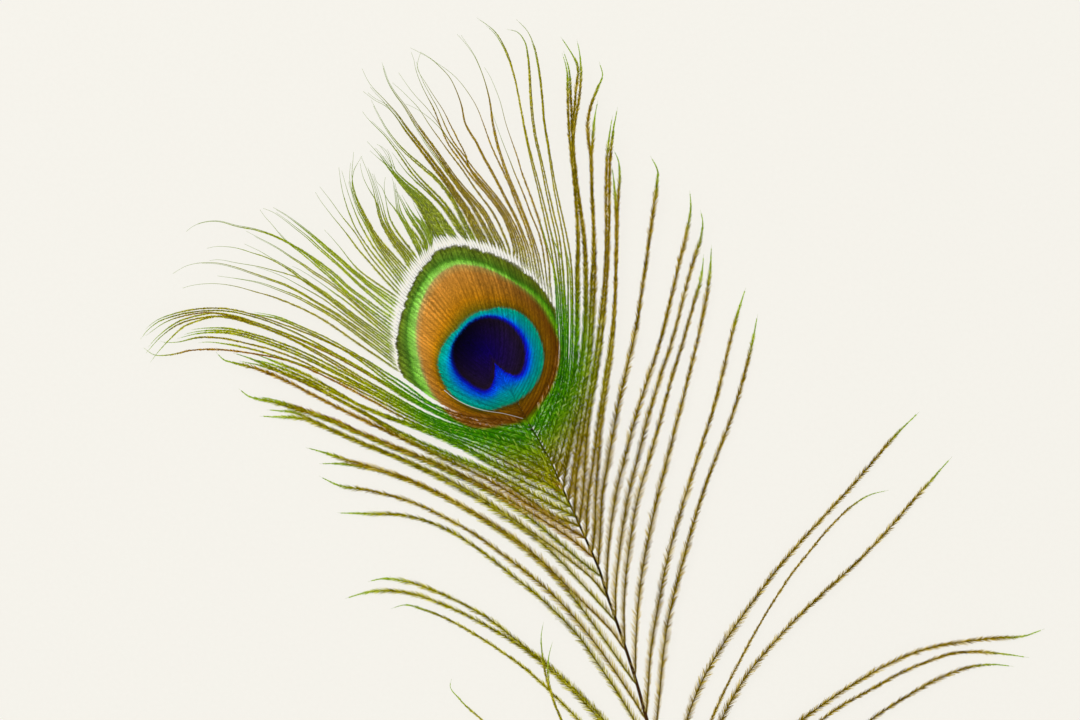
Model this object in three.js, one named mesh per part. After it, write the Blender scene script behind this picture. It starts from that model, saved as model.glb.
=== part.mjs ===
// A peacock's tail feather, lying face up: the shaft, the two halves of the web that carries the
// eye, and the loose barbs in the locks that they cling together in.
//
// Millimetres. +Y runs along the feather towards its tip, +X to the right, +Z up out of the surface
// that it lies on. The origin is on the flat underside of the shaft, where the feather balances.
import * as THREE from 'three';

// Clearances and cross-sections.
const GAP = 0.3;                  // kept between neighbouring pieces
const ROOT_HALF_WIDTH = 0.16;     // of a lock where it leaves the shaft
const LEAST_HALF_WIDTH = 0.1;     // of a lock at its tip, or squeezed between two others
const LOCK_HALF_THICKNESS = 0.3;  // of a lock, across its flat
const TIP_THINNING = 0.35;        // thickness at a lock's tip, as a share of the thickness at its root
const RING_STEP = 10;             // distance between two rings of a lock
const FACET_ALLOWANCE = 0.12;     // how far a facet may stray inside the curve it stands for
const OVERPASS = 1.6;             // height difference at which two locks no longer crowd each other

// The shaft: its width and height at the cut end, in the middle and at its tip inside the eye.
const SHAFT_WIDTHS = [[0, 2.3], [0.25, 1.8], [0.55, 0.9], [0.8, 0.6], [1, 0.3]];
const SHAFT_HEIGHT_TO_WIDTH = 0.95;
const SHAFT_RINGS = 44;
const SHAFT_ROUTE = [
  [23.6, -156], [23.5, -140], [22.9, -120], [21.7, -100], [19.8, -80], [17.2, -62], [14.6, -48],
  [11.9, -37.4], [9.3, -28.1], [6.6, -19.7], [3.9, -11.8], [1.8, -5.9], [0, 0], [-3.4, 7.9],
  [-6.3, 14.3], [-9.3, 20.7], [-13, 28.8], [-17.4, 36.7], [-19, 39.5], [-23.2, 46.8], [-27.2, 54],
  [-30.9, 61],
];

// The web of the eye: two thin plates, one on each side of the shaft and of the line that goes on
// from its tip to the top of the eye.
const WEB_BOTTOM = 0.25;
const WEB_THICKNESS = 0.5;
const EYE_TOP = [-42.6, 83.2];
const WEB_LEFT_RIM = [
  [-45.3, 80], [-47.9, 76.4], [-50.1, 71.8], [-51.6, 66.6], [-52.2, 61], [-52, 56.5], [-50.8, 52],
  [-47.4, 48.2], [-42.6, 45], [-37.6, 42.6], [-32, 40.9], [-26, 40.1], [-21.5, 40],
];
const WEB_RIGHT_RIM = [
  [-18, 41.4], [-16.4, 43.2], [-14.4, 46.4], [-12.8, 50], [-11.9, 55], [-11.8, 60], [-12.6, 65],
  [-14.3, 70], [-17, 75], [-20.8, 79], [-25.4, 81.8], [-30, 83.6], [-34.5, 84.6], [-38.6, 84.6],
];

// The loose locks. Each has its half width at the widest place, the height of its arch over the
// surface, the height of its tip, and its way in plan from the shaft, or from the rim of the web.
const LEFT_LOCKS = [
  { half: 0.3, arch: 1.4, tip: 1.5, way: [[22.5, -112], [16, -97], [6, -78], [-6, -61], [-18, -49],
    [-30.5, -38.4], [-36.5, -33], [-39, -29.4], [-38.6, -27.6]] },
  { half: 0.45, arch: 5.5, tip: 2, way: [[21.8, -101], [15, -85.5], [6, -68], [-2, -54.5],
    [-7, -45], [-10, -38.3], [-12.8, -31], [-13.6, -25.5], [-13.2, -21], [-12.4, -18]] },
  { half: 0.75, arch: 1.2, tip: 0, way: [[19.6, -78], [15.5, -67], [9.5, -56.5], [2, -46.5],
    [-5.5, -38.5], [-12, -31.9], [-19, -25.4], [-27.5, -19.2], [-37, -13.6], [-45, -10.2],
    [-51, -8.7], [-54.3, -9.6]] },
  { half: 1.3, arch: 1.2, tip: 0, way: [[18.6, -71], [13.8, -58.5], [7.6, -47.5], [0.5, -38.4],
    [-6.5, -31], [-14, -24], [-22, -17.8], [-30, -12.6], [-40, -7.7], [-50, -4.6], [-57, -3.9],
    [-63, -4.8], [-66.3, -6.6]] },
  { half: 0.85, arch: 1.4, tip: 0, way: [[15.2, -50], [8.9, -38.3], [0.3, -25], [-6.3, -15.2],
    [-17.3, -5], [-29.7, 5], [-40, 11.5], [-50, 14.7], [-60, 15.1], [-68.3, 15.4]] },
  { half: 0.85, arch: 1.4, tip: 1, way: [[12.3, -39], [6.9, -30], [0.1, -20], [-7.3, -10],
    [-12.6, -5], [-18.8, 0.2], [-25.2, 5], [-33, 10.5], [-40, 14.3], [-50, 19], [-60, 21.3],
    [-68.5, 22.7], [-73, 24.9]] },
  { half: 1.2, arch: 1.6, tip: 0, way: [[8.1, -24.5], [3, -17.7], [-2.8, -10.6], [-7.4, -5.3],
    [-12.4, 0], [-17.7, 4.9], [-25, 10.4], [-32, 14.9], [-40, 19.4], [-50, 24], [-60, 27.3],
    [-66, 28.7], [-73, 30.9], [-81, 33]] },
  { half: 1, arch: 1.6, tip: 0, way: [[3.2, -9.9], [-1.1, -4.8], [-6, 0], [-12.8, 6.2], [-19, 11],
    [-25, 15.2], [-32, 19.7], [-40, 24], [-46, 26.9], [-55, 30.8], [-62, 33.6], [-70, 37],
    [-77, 39.4], [-85, 40.8], [-92.3, 40.7]] },
  { half: 1, arch: 1.8, tip: 2, way: [[-1, 1.8], [-5, 5], [-10, 8.9], [-15, 12.6], [-20, 16],
    [-25, 19.2], [-30, 22.1], [-38, 26], [-46, 29.4], [-55, 33.1], [-62, 36.1], [-70, 39.6],
    [-80, 43.2], [-90, 45.8], [-93.5, 48]] },
  { half: 0.9, arch: 1.8, tip: 2, way: [[-4.1, 8.8], [-10, 12], [-15, 15.2], [-20, 18.5],
    [-25, 21.7], [-30, 24.4], [-35, 26.7], [-40, 28.9], [-50, 33.9], [-60, 38.7], [-70, 43.7],
    [-75, 46.4], [-82, 49.9], [-90, 53.1], [-96, 54.6], [-99.6, 56.6]] },
  { half: 1.1, arch: 1.8, tip: 0, way: [[-6.7, 14.4], [-10.5, 16.2], [-15, 18.7], [-20, 21.6],
    [-25, 24.5], [-30, 27.1], [-35, 29.4], [-40, 31.6], [-50, 36.6], [-60, 41.5], [-70, 46.8],
    [-80, 51.7], [-87, 54.7], [-94, 56.4]] },
  { half: 1, arch: 1.8, tip: 1.5, way: [[-9.5, 20.6], [-14, 23.2], [-20, 27], [-25, 30],
    [-30, 32.4], [-35, 34.4], [-40, 36.4], [-50, 40.9], [-60, 46], [-70, 50.9], [-80, 55.2],
    [-90, 57.7], [-100, 58.4], [-110, 57.3], [-118, 58.2]] },
  { half: 0.9, arch: 2, tip: 2, way: [[-11.9, 26], [-16, 28.4], [-20, 30.7], [-25, 33.1],
    [-30, 34.9], [-35, 36.5], [-40, 38.3], [-50, 42.8], [-60, 48], [-70, 53.1], [-80, 57.7],
    [-90, 61.2], [-100, 62.9], [-110, 61.3]] },
  { half: 1, arch: 2, tip: 2, way: [[-14.3, 30.9], [-19, 33], [-25, 35.2], [-30, 36.8],
    [-35, 38.3], [-40, 40.1], [-45, 42.4], [-50, 45], [-60, 50.4], [-70, 56], [-80, 61.1],
    [-90, 64.9], [-99, 66.8], [-106, 65.8], [-112, 62.6], [-118, 57]] },
  { half: 0.9, arch: 2.2, tip: 3, way: [[-16.7, 35.3], [-20, 36.6], [-25, 37.9], [-30, 38.8],
    [-35, 39.9], [-40, 41.7], [-45, 44], [-50, 46.8], [-55, 49.9], [-62, 54.4], [-70, 58.8],
    [-80, 63.5], [-90, 67], [-98, 68.5], [-106, 68], [-113, 65.8], [-119.3, 60.6]] },
];

const CROWN_LOCKS = [
  { half: 0.5, arch: 1.5, tip: 3, way: [[-53.1, 53.7], [-60, 58], [-70, 63.9], [-80, 69.2],
    [-90, 73], [-100, 75], [-107, 74.2], [-114.5, 70.4]] },
  { half: 0.9, arch: 1.5, tip: 4, way: [[-53.6, 56.1], [-60, 60.4], [-65, 63.6], [-70, 66.6],
    [-75, 69.4], [-80, 71.8], [-85, 73.9], [-92, 76.1], [-101, 77.2]] },
  { half: 0.9, arch: 1.8, tip: 4, way: [[-53.9, 58.5], [-60, 63.1], [-65, 66.6], [-70, 69.8],
    [-75, 72.6], [-80, 75], [-90, 79], [-97, 80.6], [-105, 80], [-112, 76.4]] },
  { half: 0.9, arch: 1.8, tip: 5, way: [[-53.8, 60.8], [-60, 65.6], [-65, 69.4], [-70, 72.8],
    [-75, 75.8], [-80, 78.6], [-87, 82], [-93, 84], [-99, 84.6], [-105.3, 83]] },
  { half: 0.8, arch: 2, tip: 5, way: [[-53.6, 63], [-60, 68], [-65, 71.8], [-70, 75.3],
    [-75, 78.5], [-80, 81.7], [-85, 84.8], [-91, 87.4]] },
  { half: 1, arch: 2, tip: 6, way: [[-53.2, 65.1], [-60, 70.4], [-65, 74.3], [-70, 78],
    [-75, 81.7], [-80, 85.2], [-85, 88], [-90, 90], [-97, 91.3], [-103, 90.2], [-108, 87.4]] },
  { half: 1.1, arch: 2, tip: 6, way: [[-52.9, 67.4], [-56, 70], [-60, 73.2], [-63.5, 76.5],
    [-67, 80.2], [-70, 83], [-75, 87.6], [-80, 91.5], [-84.5, 94], [-88.4, 95]] },
  { half: 0.5, arch: 2, tip: 6, way: [[-52.3, 69.5], [-56, 73.2], [-60, 77.6], [-65, 83],
    [-69, 87.4], [-72, 90.5], [-75, 93.6]] },
  { half: 0.6, arch: 2.2, tip: 7, way: [[-51.7, 71.5], [-55.3, 75.8], [-58.6, 80], [-62.3, 84.6],
    [-66, 89.2], [-70, 94.6], [-73.4, 99.2], [-75, 103.4]] },
  { half: 0.9, arch: 2.2, tip: 7, way: [[-50.9, 73.6], [-54.5, 78.2], [-57.7, 82.4], [-60.6, 86.6],
    [-63.2, 91], [-65.5, 95.8], [-67, 100.6], [-67.8, 105.5], [-67.3, 110.5]] },
  { half: 0.9, arch: 2.2, tip: 7, way: [[-49.8, 75.9], [-53.2, 80.4], [-56.5, 85], [-59.3, 89.6],
    [-61.7, 94.5], [-63.6, 99.4], [-64.3, 104.2], [-63.2, 109], [-61.6, 112.7]] },
  { half: 1.1, arch: 2.2, tip: 7, way: [[-48.2, 78.7], [-51.2, 82.4], [-53.8, 86.4], [-56, 91.2],
    [-57.7, 96], [-59.2, 101], [-60.6, 105.2], [-61.6, 108.6]] },
  { half: 0.9, arch: 2.2, tip: 5, way: [[-45.9, 81.7], [-48.3, 85.2], [-50.5, 89.4], [-52.2, 94],
    [-53.4, 98.4], [-54.2, 102.2]] },
  { half: 1.1, arch: 2.2, tip: 5, way: [[-42.6, 84.4], [-45, 88.6], [-47.6, 92.8], [-50.2, 96.8],
    [-51.8, 99.4]] },
  { half: 1.8, arch: 2.4, tip: 7, way: [[-37.8, 86.4], [-41, 90.6], [-45.4, 95.8], [-50, 100.9],
    [-55, 106.5], [-58, 109.9], [-60.4, 112.2]] },
  { half: 0.9, arch: 2.4, tip: 8, way: [[-34.2, 86.3], [-38, 90.8], [-43, 96.5], [-48, 102.2],
    [-53, 108.6], [-57, 114.6], [-60.6, 121]] },
  { half: 1.1, arch: 2.4, tip: 8, way: [[-30.8, 85.5], [-34.8, 90.6], [-39, 96.2], [-43, 102],
    [-46.6, 107.6], [-50, 112.6], [-54, 118.3], [-57.6, 123.4], [-60.6, 128], [-62.5, 132]] },
  { half: 1, arch: 2.4, tip: 8, way: [[-27.5, 84.4], [-31, 90], [-35, 96.6], [-39, 103],
    [-42.5, 109.3], [-45.8, 115], [-49.2, 120.5], [-53, 126.5], [-55.4, 131], [-55.9, 135.7]] },
  { half: 1, arch: 2.4, tip: 8, way: [[-24.4, 83.6], [-27.2, 89.6], [-30.8, 97], [-34.6, 104],
    [-38.2, 110.6], [-41.6, 116.4], [-44.6, 122.2], [-47, 128.4], [-48.7, 134.4], [-48.5, 139]] },
  { half: 0.8, arch: 2.4, tip: 7, way: [[-21.5, 81.8], [-23.6, 88.4], [-26.6, 96.6], [-29.6, 104],
    [-32.6, 111], [-35.2, 117.6], [-37.4, 124], [-41, 129.8], [-45.4, 133.6]] },
  { half: 0.9, arch: 2.4, tip: 8, way: [[-18.6, 79.8], [-20.2, 87], [-22.4, 95.6], [-24.6, 103.4],
    [-26.6, 111], [-28.4, 119], [-29.9, 126], [-32, 132], [-35.5, 138.5], [-39, 144]] },
  { half: 0.6, arch: 2, tip: 6, way: [[-17.2, 36.4], [-14.4, 42.2], [-12.2, 47.2], [-10.9, 52],
    [-10.4, 57], [-10.6, 62], [-11.4, 68], [-12.8, 75], [-14.4, 83], [-16.4, 93], [-18.6, 104],
    [-20.2, 115], [-22, 126], [-24.6, 135.6], [-28, 141], [-32, 143.3]] },
  { half: 0.6, arch: 2, tip: 6, way: [[-15.8, 33.9], [-13.2, 39.6], [-11.1, 45], [-9.7, 50.4],
    [-9.1, 56], [-9.2, 62], [-9.9, 69], [-11, 77], [-12.4, 86], [-14.4, 96], [-16.4, 106],
    [-17.9, 117], [-18.8, 127], [-19.8, 134.6], [-21.6, 139], [-24.4, 140.4]] },
  { half: 0.6, arch: 2, tip: 6, way: [[-14.4, 31.3], [-11.9, 37.4], [-10, 43.2], [-8.6, 49.4],
    [-7.9, 56], [-7.9, 62.6], [-8.4, 70], [-9.4, 79], [-10.6, 88], [-12.2, 98], [-13.8, 108],
    [-15, 118], [-16.1, 128], [-17.6, 135.2], [-19.6, 140], [-22, 143]] },
];

const RIGHT_LOCKS = [
  { half: 1, arch: 2, tip: 5, way: [[-11.6, 25.9], [-10, 32], [-8.4, 38.4], [-7, 45.2],
    [-5.9, 52.4], [-5.2, 60], [-4.9, 68], [-4.7, 78], [-4.8, 86], [-5.5, 94], [-6.5, 102],
    [-7.2, 111], [-7.5, 120], [-8.1, 128], [-9.2, 135]] },
  { half: 0.9, arch: 2, tip: 5, way: [[-8.8, 19.6], [-7.8, 26], [-6.7, 33], [-5.4, 40.4],
    [-4.1, 48], [-3.1, 55], [-2.5, 62], [-2.1, 70], [-1.8, 80], [-1.8, 90], [-2.2, 100],
    [-2.6, 110], [-2.4, 118], [-1.2, 124.6], [0.3, 128.4], [-0.1, 132.3]] },
  { half: 0.8, arch: 2, tip: 5, way: [[-5.6, 12.8], [-5.1, 20], [-4.5, 29], [-3.4, 39],
    [-1.8, 49], [-0.2, 59], [0.8, 69], [1.5, 79], [1.8, 89], [1.8, 99], [2.1, 107], [2.9, 114.5],
    [4, 120.5]] },
  { half: 0.8, arch: 1.8, tip: 3, way: [[-2.9, 6.8], [-2.3, 13], [-1.9, 20], [-1, 30], [0.1, 40],
    [1.6, 50], [3, 60], [3.8, 70], [4.1, 80], [4.3, 90], [4.5, 100], [4.7, 108]] },
  { half: 0.75, arch: 1.6, tip: 3, way: [[-0.5, 1.2], [-0.1, 9], [0.5, 20], [2.3, 30], [4.1, 40],
    [6.3, 50], [8.6, 60], [10.3, 70], [11.8, 80], [13.2, 90], [14.7, 100], [15, 104],
    [13.1, 108]] },
  { half: 0.75, arch: 1.6, tip: 2, way: [[1.8, -5.9], [1.9, 0], [2.7, 10], [4.2, 20], [6.6, 30],
    [9.1, 40], [12.3, 50], [15.6, 60], [18, 70], [20.3, 80], [22.8, 90], [23.5, 95],
    [23.2, 99]] },
  { half: 0.75, arch: 1.6, tip: 2, way: [[4.1, -12.4], [4, -5], [4.4, 1], [5.5, 10], [7.2, 20],
    [9.7, 30], [12.2, 40], [15.4, 50], [18.8, 60], [21.4, 70], [24, 80], [26.2, 87], [26.6, 91],
    [26, 94]] },
  { half: 0.75, arch: 1.4, tip: 1, way: [[6.5, -19.4], [6.2, -10], [6.7, 0], [8.1, 10],
    [10.1, 20], [12.8, 30], [15.6, 40], [18.4, 50], [21.5, 60], [24.4, 70], [26.3, 77],
    [26.9, 82.5]] },
  { half: 0.75, arch: 1.4, tip: 1, way: [[9.1, -27.5], [9.2, -20], [9.8, -10], [10.9, 0],
    [12.6, 10], [14.9, 20], [17.5, 30], [20.1, 40], [22.7, 50], [25.2, 60], [27.3, 70],
    [28.6, 78], [29, 85]] },
  { half: 0.75, arch: 1.4, tip: 0, way: [[12, -37.7], [12.4, -30], [13.1, -20], [14.7, -10],
    [16.7, 0], [19.3, 10], [22.1, 20], [25.3, 30], [28.7, 40], [31.4, 50], [33.7, 60], [36.2, 69],
    [37.8, 74]] },
  { half: 0.75, arch: 1.2, tip: 0, way: [[14.2, -46.2], [14.8, -38], [15.5, -30], [16.6, -20],
    [18.3, -10], [20.8, 0], [23.5, 10], [26.5, 20], [30.1, 30], [33.9, 40], [37.1, 50],
    [39.6, 60], [40.9, 67]] },
  { half: 0.7, arch: 1.2, tip: 0, way: [[17.8, -65.4], [19.5, -52], [22.6, -38.3], [26, -29.4],
    [30, -22], [35, -14.2], [40, -7.1], [45, -0.4], [50, 5.5], [55, 11.1], [60, 16.6], [65, 22],
    [70, 27.8], [77.5, 36.4], [83, 41.7]] },
  { half: 0.35, arch: 1.2, tip: 0, way: [[19.5, -77.6], [21.6, -63], [24.8, -50], [29, -38.3],
    [34, -27.4], [38, -19.6], [42, -12.4], [46, -5.8], [50, 0.1], [55, 6.2], [60, 12], [66, 17.6],
    [70, 20], [75, 21.3]] },
  { half: 0.7, arch: 1.2, tip: 0, way: [[20.6, -87.6], [22.8, -71], [26.2, -54], [31, -39.4],
    [35.4, -31], [40, -24.2], [45, -18.2], [50, -12.8], [55, -8.1], [60, -3.5], [65, 1],
    [70, 5.9], [75, 11.2], [80, 17], [85, 22.6], [91.5, 30]] },
  { half: 0.7, arch: 1.2, tip: 0, way: [[21.6, -99], [24.8, -85], [31.6, -66.6], [40.6, -51],
    [52.4, -38.2], [60, -32.8], [67, -28.4], [75, -23.8], [82, -20.6], [88, -19], [95, -18],
    [102, -17.2], [110, -16.6], [115.5, -14.7]] },
  { half: 0.6, arch: 1.2, tip: 0, way: [[22.2, -108.4], [26.4, -91.4], [34, -72], [43.6, -55.4],
    [54.8, -40.6], [62, -35], [70, -30.6], [78, -26.2], [85, -23.2], [92, -21], [99, -20.7],
    [106, -21.4], [111.5, -22.2]] },
  { half: 0.7, arch: 1.2, tip: 0, way: [[22.8, -119], [27.6, -102], [38, -79.6], [52, -58.8],
    [70, -38.6], [78, -33.2], [84, -29.6], [90, -26.6], [96, -24.6], [102, -23.9],
    [107.5, -24.4]] },
];

// Colours, roughness of horn and of barbs.
const SHAFT_COLOUR = 0x4a3218;
const WEB_COLOURS = { left: 0x8a5a1c, right: 0x1d6f62 };
const LOCK_COLOURS = { left: 0x6e6a24, crown: 0x7d9a34, right: 0x7a6628 };
const SHAFT_ROUGHNESS = 0.45;
const BARB_ROUGHNESS = 0.6;

function barbMaterial(colour) {
  return new THREE.MeshStandardMaterial({ color: colour, roughness: BARB_ROUGHNESS, metalness: 0 });
}

function planCurve(points) {
  const corners = points.map(([x, y]) => new THREE.Vector3(x, y, 0));
  return new THREE.CatmullRomCurve3(corners, false, 'centripetal');
}

// The value at t of a list of [place, value] pairs, straight between them.
function valueAt(pairs, t) {
  const next = pairs.findIndex(([place]) => place >= t);
  if (next <= 0) {
    return next === 0 ? pairs[0][1] : pairs[pairs.length - 1][1];
  }
  const [before, low] = pairs[next - 1];
  const [after, high] = pairs[next];
  return THREE.MathUtils.mapLinear(t, before, after, low, high);
}

// One closed skin through rings of equal size, with a fan over each end.
function loft(rings) {
  const size = rings[0].length;
  const corners = [];
  for (let ring = 0; ring < rings.length - 1; ring += 1) {
    for (let side = 0; side < size; side += 1) {
      const beside = (side + 1) % size;
      const a = rings[ring][side];
      const b = rings[ring][beside];
      const c = rings[ring + 1][beside];
      const d = rings[ring + 1][side];
      corners.push(a, c, b, a, d, c);
    }
  }
  const first = rings[0];
  const last = rings[rings.length - 1];
  for (let side = 1; side < size - 1; side += 1) {
    corners.push(first[0], first[side], first[side + 1]);
    corners.push(last[0], last[side + 1], last[side]);
  }
  return new THREE.BufferGeometry().setFromPoints(corners);
}

// A ring across a way in plan: the outline's points are [across, height].
function ringAcross(centre, tangent, outline) {
  const right = new THREE.Vector3(tangent.y, -tangent.x, 0).normalize();
  return outline.map(([across, height]) => {
    const point = centre.clone().addScaledVector(right, across);
    return point.setZ(height);
  });
}

const shaftCurve = planCurve(SHAFT_ROUTE);

function shaftHalfWidth(t) {
  return valueAt(SHAFT_WIDTHS, t) / 2;
}

// The shaft: flat below, rounded above.
function shaftGeometry() {
  const rings = [];
  for (let step = 0; step <= SHAFT_RINGS; step += 1) {
    const t = step / SHAFT_RINGS;
    const half = shaftHalfWidth(t);
    const height = 2 * half * SHAFT_HEIGHT_TO_WIDTH;
    const outline = [
      [half * 0.8, 0], [half, height * 0.4], [half * 0.7, height * 0.85], [0, height],
      [-half * 0.7, height * 0.85], [-half, height * 0.4], [-half * 0.8, 0],
    ];
    rings.push(ringAcross(shaftCurve.getPointAt(t), shaftCurve.getTangentAt(t), outline));
  }
  return loft(rings);
}

// Points along the shaft, for telling how near a lock is to it.
const SHAFT_SAMPLES = 400;
const shaftSamples = Array.from({ length: SHAFT_SAMPLES + 1 }, (_, step) => {
  const t = step / SHAFT_SAMPLES;
  return { point: shaftCurve.getPointAt(t), half: shaftHalfWidth(t) };
});

function roomToShaft(point) {
  return Math.min(...shaftSamples.map((s) => s.point.distanceTo(point) - s.half - GAP));
}

// A lock's height over the surface: its root beside the shaft, its arch, and its tip.
function undersideAt(lock, t) {
  const root = 0.15 * (1 - t);
  return root + lock.arch * Math.sin(Math.PI * t) + lock.tip * t ** 3;
}

// A lock starts where its way comes clear of the shaft, and its rings are evenly spaced from there.
function layLock(lock) {
  const curve = planCurve(lock.way);
  const length = curve.getLength();
  const searchSteps = Math.ceil(length * 4);
  let start = 0;
  while (roomToShaft(curve.getPointAt(start)) < ROOT_HALF_WIDTH) {
    start += 1 / searchSteps;
  }
  const count = Math.max(4, Math.round((length * (1 - start)) / RING_STEP));
  const stations = Array.from({ length: count + 1 }, (_, step) => {
    const along = step / count;
    const t = start + (1 - start) * along;
    return {
      along,
      point: curve.getPointAt(t),
      tangent: curve.getTangentAt(t),
      underside: undersideAt(lock, along),
    };
  });
  const fineCount = count * 8;
  const fine = Array.from({ length: fineCount + 1 }, (_, step) => {
    const along = step / fineCount;
    return {
      point: curve.getPointAt(start + (1 - start) * along),
      underside: undersideAt(lock, along),
    };
  });
  return { ...lock, stations, fine };
}

// How wide a lock may be at a station, between its neighbours and the shaft.
function halfWidthAt(lock, station, others) {
  const swelling = Math.min(1, 0.25 + 3 * station.along);
  const tapering = Math.min(1, 0.15 + 2.2 * (1 - station.along));
  let half = lock.half * swelling * tapering;
  for (const other of others) {
    for (const sample of other.fine) {
      const distance = sample.point.distanceTo(station.point);
      if (distance < 6 && Math.abs(sample.underside - station.underside) < OVERPASS) {
        half = Math.min(half, (distance - GAP - FACET_ALLOWANCE) / 2);
      }
    }
  }
  half = Math.min(half, roomToShaft(station.point));
  return Math.max(half, LEAST_HALF_WIDTH);
}

// A lock: a flat, tapering bundle of barbs that lies edge to edge with its neighbours.
function lockGeometry(lock, others) {
  const rings = lock.stations.map((station) => {
    const half = halfWidthAt(lock, station, others);
    const thick = LOCK_HALF_THICKNESS * THREE.MathUtils.lerp(1, TIP_THINNING, station.along);
    const low = station.underside;
    const middle = low + thick;
    const high = low + 2 * thick;
    const outline = [
      [half * 0.6, low], [half, middle], [half * 0.6, high],
      [-half * 0.6, high], [-half, middle], [-half * 0.6, low],
    ];
    return ringAcross(station.point, station.tangent, outline);
  });
  return loft(rings);
}

// The edge of a web half that runs up beside the shaft and on to the top of the eye.
const WEB_EDGE_STEPS = 8;
const EYE_BASE = [-20, 41.4];

function webInnerEdge(side) {
  const shaftTip = shaftCurve.getPointAt(1);
  const edge = [];
  for (let step = 0; step <= WEB_EDGE_STEPS; step += 1) {
    const y = THREE.MathUtils.lerp(EYE_BASE[1], shaftTip.y, step / WEB_EDGE_STEPS);
    const sample = shaftSamples.reduce((a, b) => (
      Math.abs(a.point.y - y) < Math.abs(b.point.y - y) ? a : b));
    const slant = Math.SQRT2;
    edge.push([sample.point.x + side * slant * (sample.half + GAP), sample.point.y]);
  }
  edge.push([EYE_TOP[0] + side * GAP, EYE_TOP[1]]);
  return edge;
}

function webGeometry(side, rim) {
  const inner = webInnerEdge(side);
  const outline = side < 0 ? [...inner, ...rim] : [...inner.reverse(), ...rim];
  const shape = new THREE.Shape(outline.map(([x, y]) => new THREE.Vector2(x, y)));
  const plate = new THREE.ExtrudeGeometry(shape, { depth: WEB_THICKNESS, bevelEnabled: false });
  return plate.translate(0, 0, WEB_BOTTOM);
}

const feather = new THREE.Group();

function addPiece(name, geometry, material) {
  const piece = new THREE.Mesh(geometry, material);
  piece.name = name;
  feather.add(piece);
}

const horn = new THREE.MeshStandardMaterial({
  color: SHAFT_COLOUR, roughness: SHAFT_ROUGHNESS, metalness: 0,
});
addPiece('shaft', shaftGeometry(), horn);
addPiece('eye_web_left', webGeometry(-1, WEB_LEFT_RIM), barbMaterial(WEB_COLOURS.left));
addPiece('eye_web_right', webGeometry(1, WEB_RIGHT_RIM), barbMaterial(WEB_COLOURS.right));

const groups = { left: LEFT_LOCKS, crown: CROWN_LOCKS, right: RIGHT_LOCKS };
const locks = Object.entries(groups).flatMap(([place, list]) => list.map((lock, index) => {
  const number = String(index + 1).padStart(2, '0');
  return layLock({ ...lock, place, name: `${place}_lock_${number}` });
}));
for (const lock of locks) {
  const others = locks.filter((other) => other !== lock);
  addPiece(lock.name, lockGeometry(lock, others), barbMaterial(LOCK_COLOURS[lock.place]));
}

export default feather;
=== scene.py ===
"""A peacock's tail feather lying face up on pale paper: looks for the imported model.

Lengths are in millimetres in the part's own frame, and become metres where a mesh is made. +Y runs
along the feather towards its tip, +X to the right, +Z up out of the paper.
"""
import math

import bpy
import numpy as np
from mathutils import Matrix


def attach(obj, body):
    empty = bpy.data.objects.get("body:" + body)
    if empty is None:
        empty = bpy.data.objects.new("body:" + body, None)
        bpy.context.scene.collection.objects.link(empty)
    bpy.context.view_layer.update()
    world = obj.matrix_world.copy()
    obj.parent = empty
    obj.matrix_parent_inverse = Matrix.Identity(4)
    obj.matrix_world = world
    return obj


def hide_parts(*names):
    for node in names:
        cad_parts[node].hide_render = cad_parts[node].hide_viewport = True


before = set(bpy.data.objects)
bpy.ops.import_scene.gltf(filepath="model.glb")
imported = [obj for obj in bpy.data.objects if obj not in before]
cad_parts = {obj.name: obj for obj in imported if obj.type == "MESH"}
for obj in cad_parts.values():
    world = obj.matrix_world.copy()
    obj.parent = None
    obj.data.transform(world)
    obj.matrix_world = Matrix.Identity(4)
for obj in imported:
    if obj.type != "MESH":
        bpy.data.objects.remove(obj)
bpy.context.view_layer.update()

MM = 0.001
SEED = 20

# ---------------------------------------------------------------------------------------------
# The shaft and the loose locks, in plan.
# ---------------------------------------------------------------------------------------------

SHAFT_WAY = [
    (23.6, -156), (23.5, -140), (22.9, -120), (21.7, -100), (19.8, -80), (17.2, -62), (14.6, -48),
    (11.9, -37.4), (9.3, -28.1), (6.6, -19.7), (3.9, -11.8), (1.8, -5.9), (0, 0), (-3.4, 7.9),
    (-6.3, 14.3), (-9.3, 20.7), (-13, 28.8), (-17.4, 36.7), (-19, 39.5), (-23.2, 46.8), (-27.2, 54),
    (-30.9, 61),
]
SHAFT_WIDTHS = [(0, 2.3), (0.25, 1.8), (0.55, 0.85), (0.8, 0.55), (0.89, 0.5), (0.92, 0.2), (1, 0.1)]
SHAFT_HEIGHT_TO_WIDTH = 0.95


def with_end(way, end):
    """The way as far as the place where an end leaves it, and then that end."""
    nearest = min(range(len(way)), key=lambda i: math.dist(way[i], end[0]))
    return way[:nearest] + end


def lock(barbs, arch, lift, way, roots=(0, 0), gap=0.6, ends=(), warm=(0.3,), fringe=1.0):
    """A lock of barbs that start at the shaft.

    arch and lift are the heights of its middle and of its end; roots, how far below and above the
    way's own root its lowest and highest barbs start; gap, the distance between two of its barbs;
    ends, other ends, each of which leaves the way at its own first point; warm, how brown each
    barb is; fringe, the length of the barbules as a share of the usual.
    """
    ways = [way] + [with_end(way, end) for end in ends]
    return {"barbs": barbs, "arch": arch, "lift": lift, "ways": ways, "roots": roots, "gap": gap,
            "warm": warm, "fringe": fringe}


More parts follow.
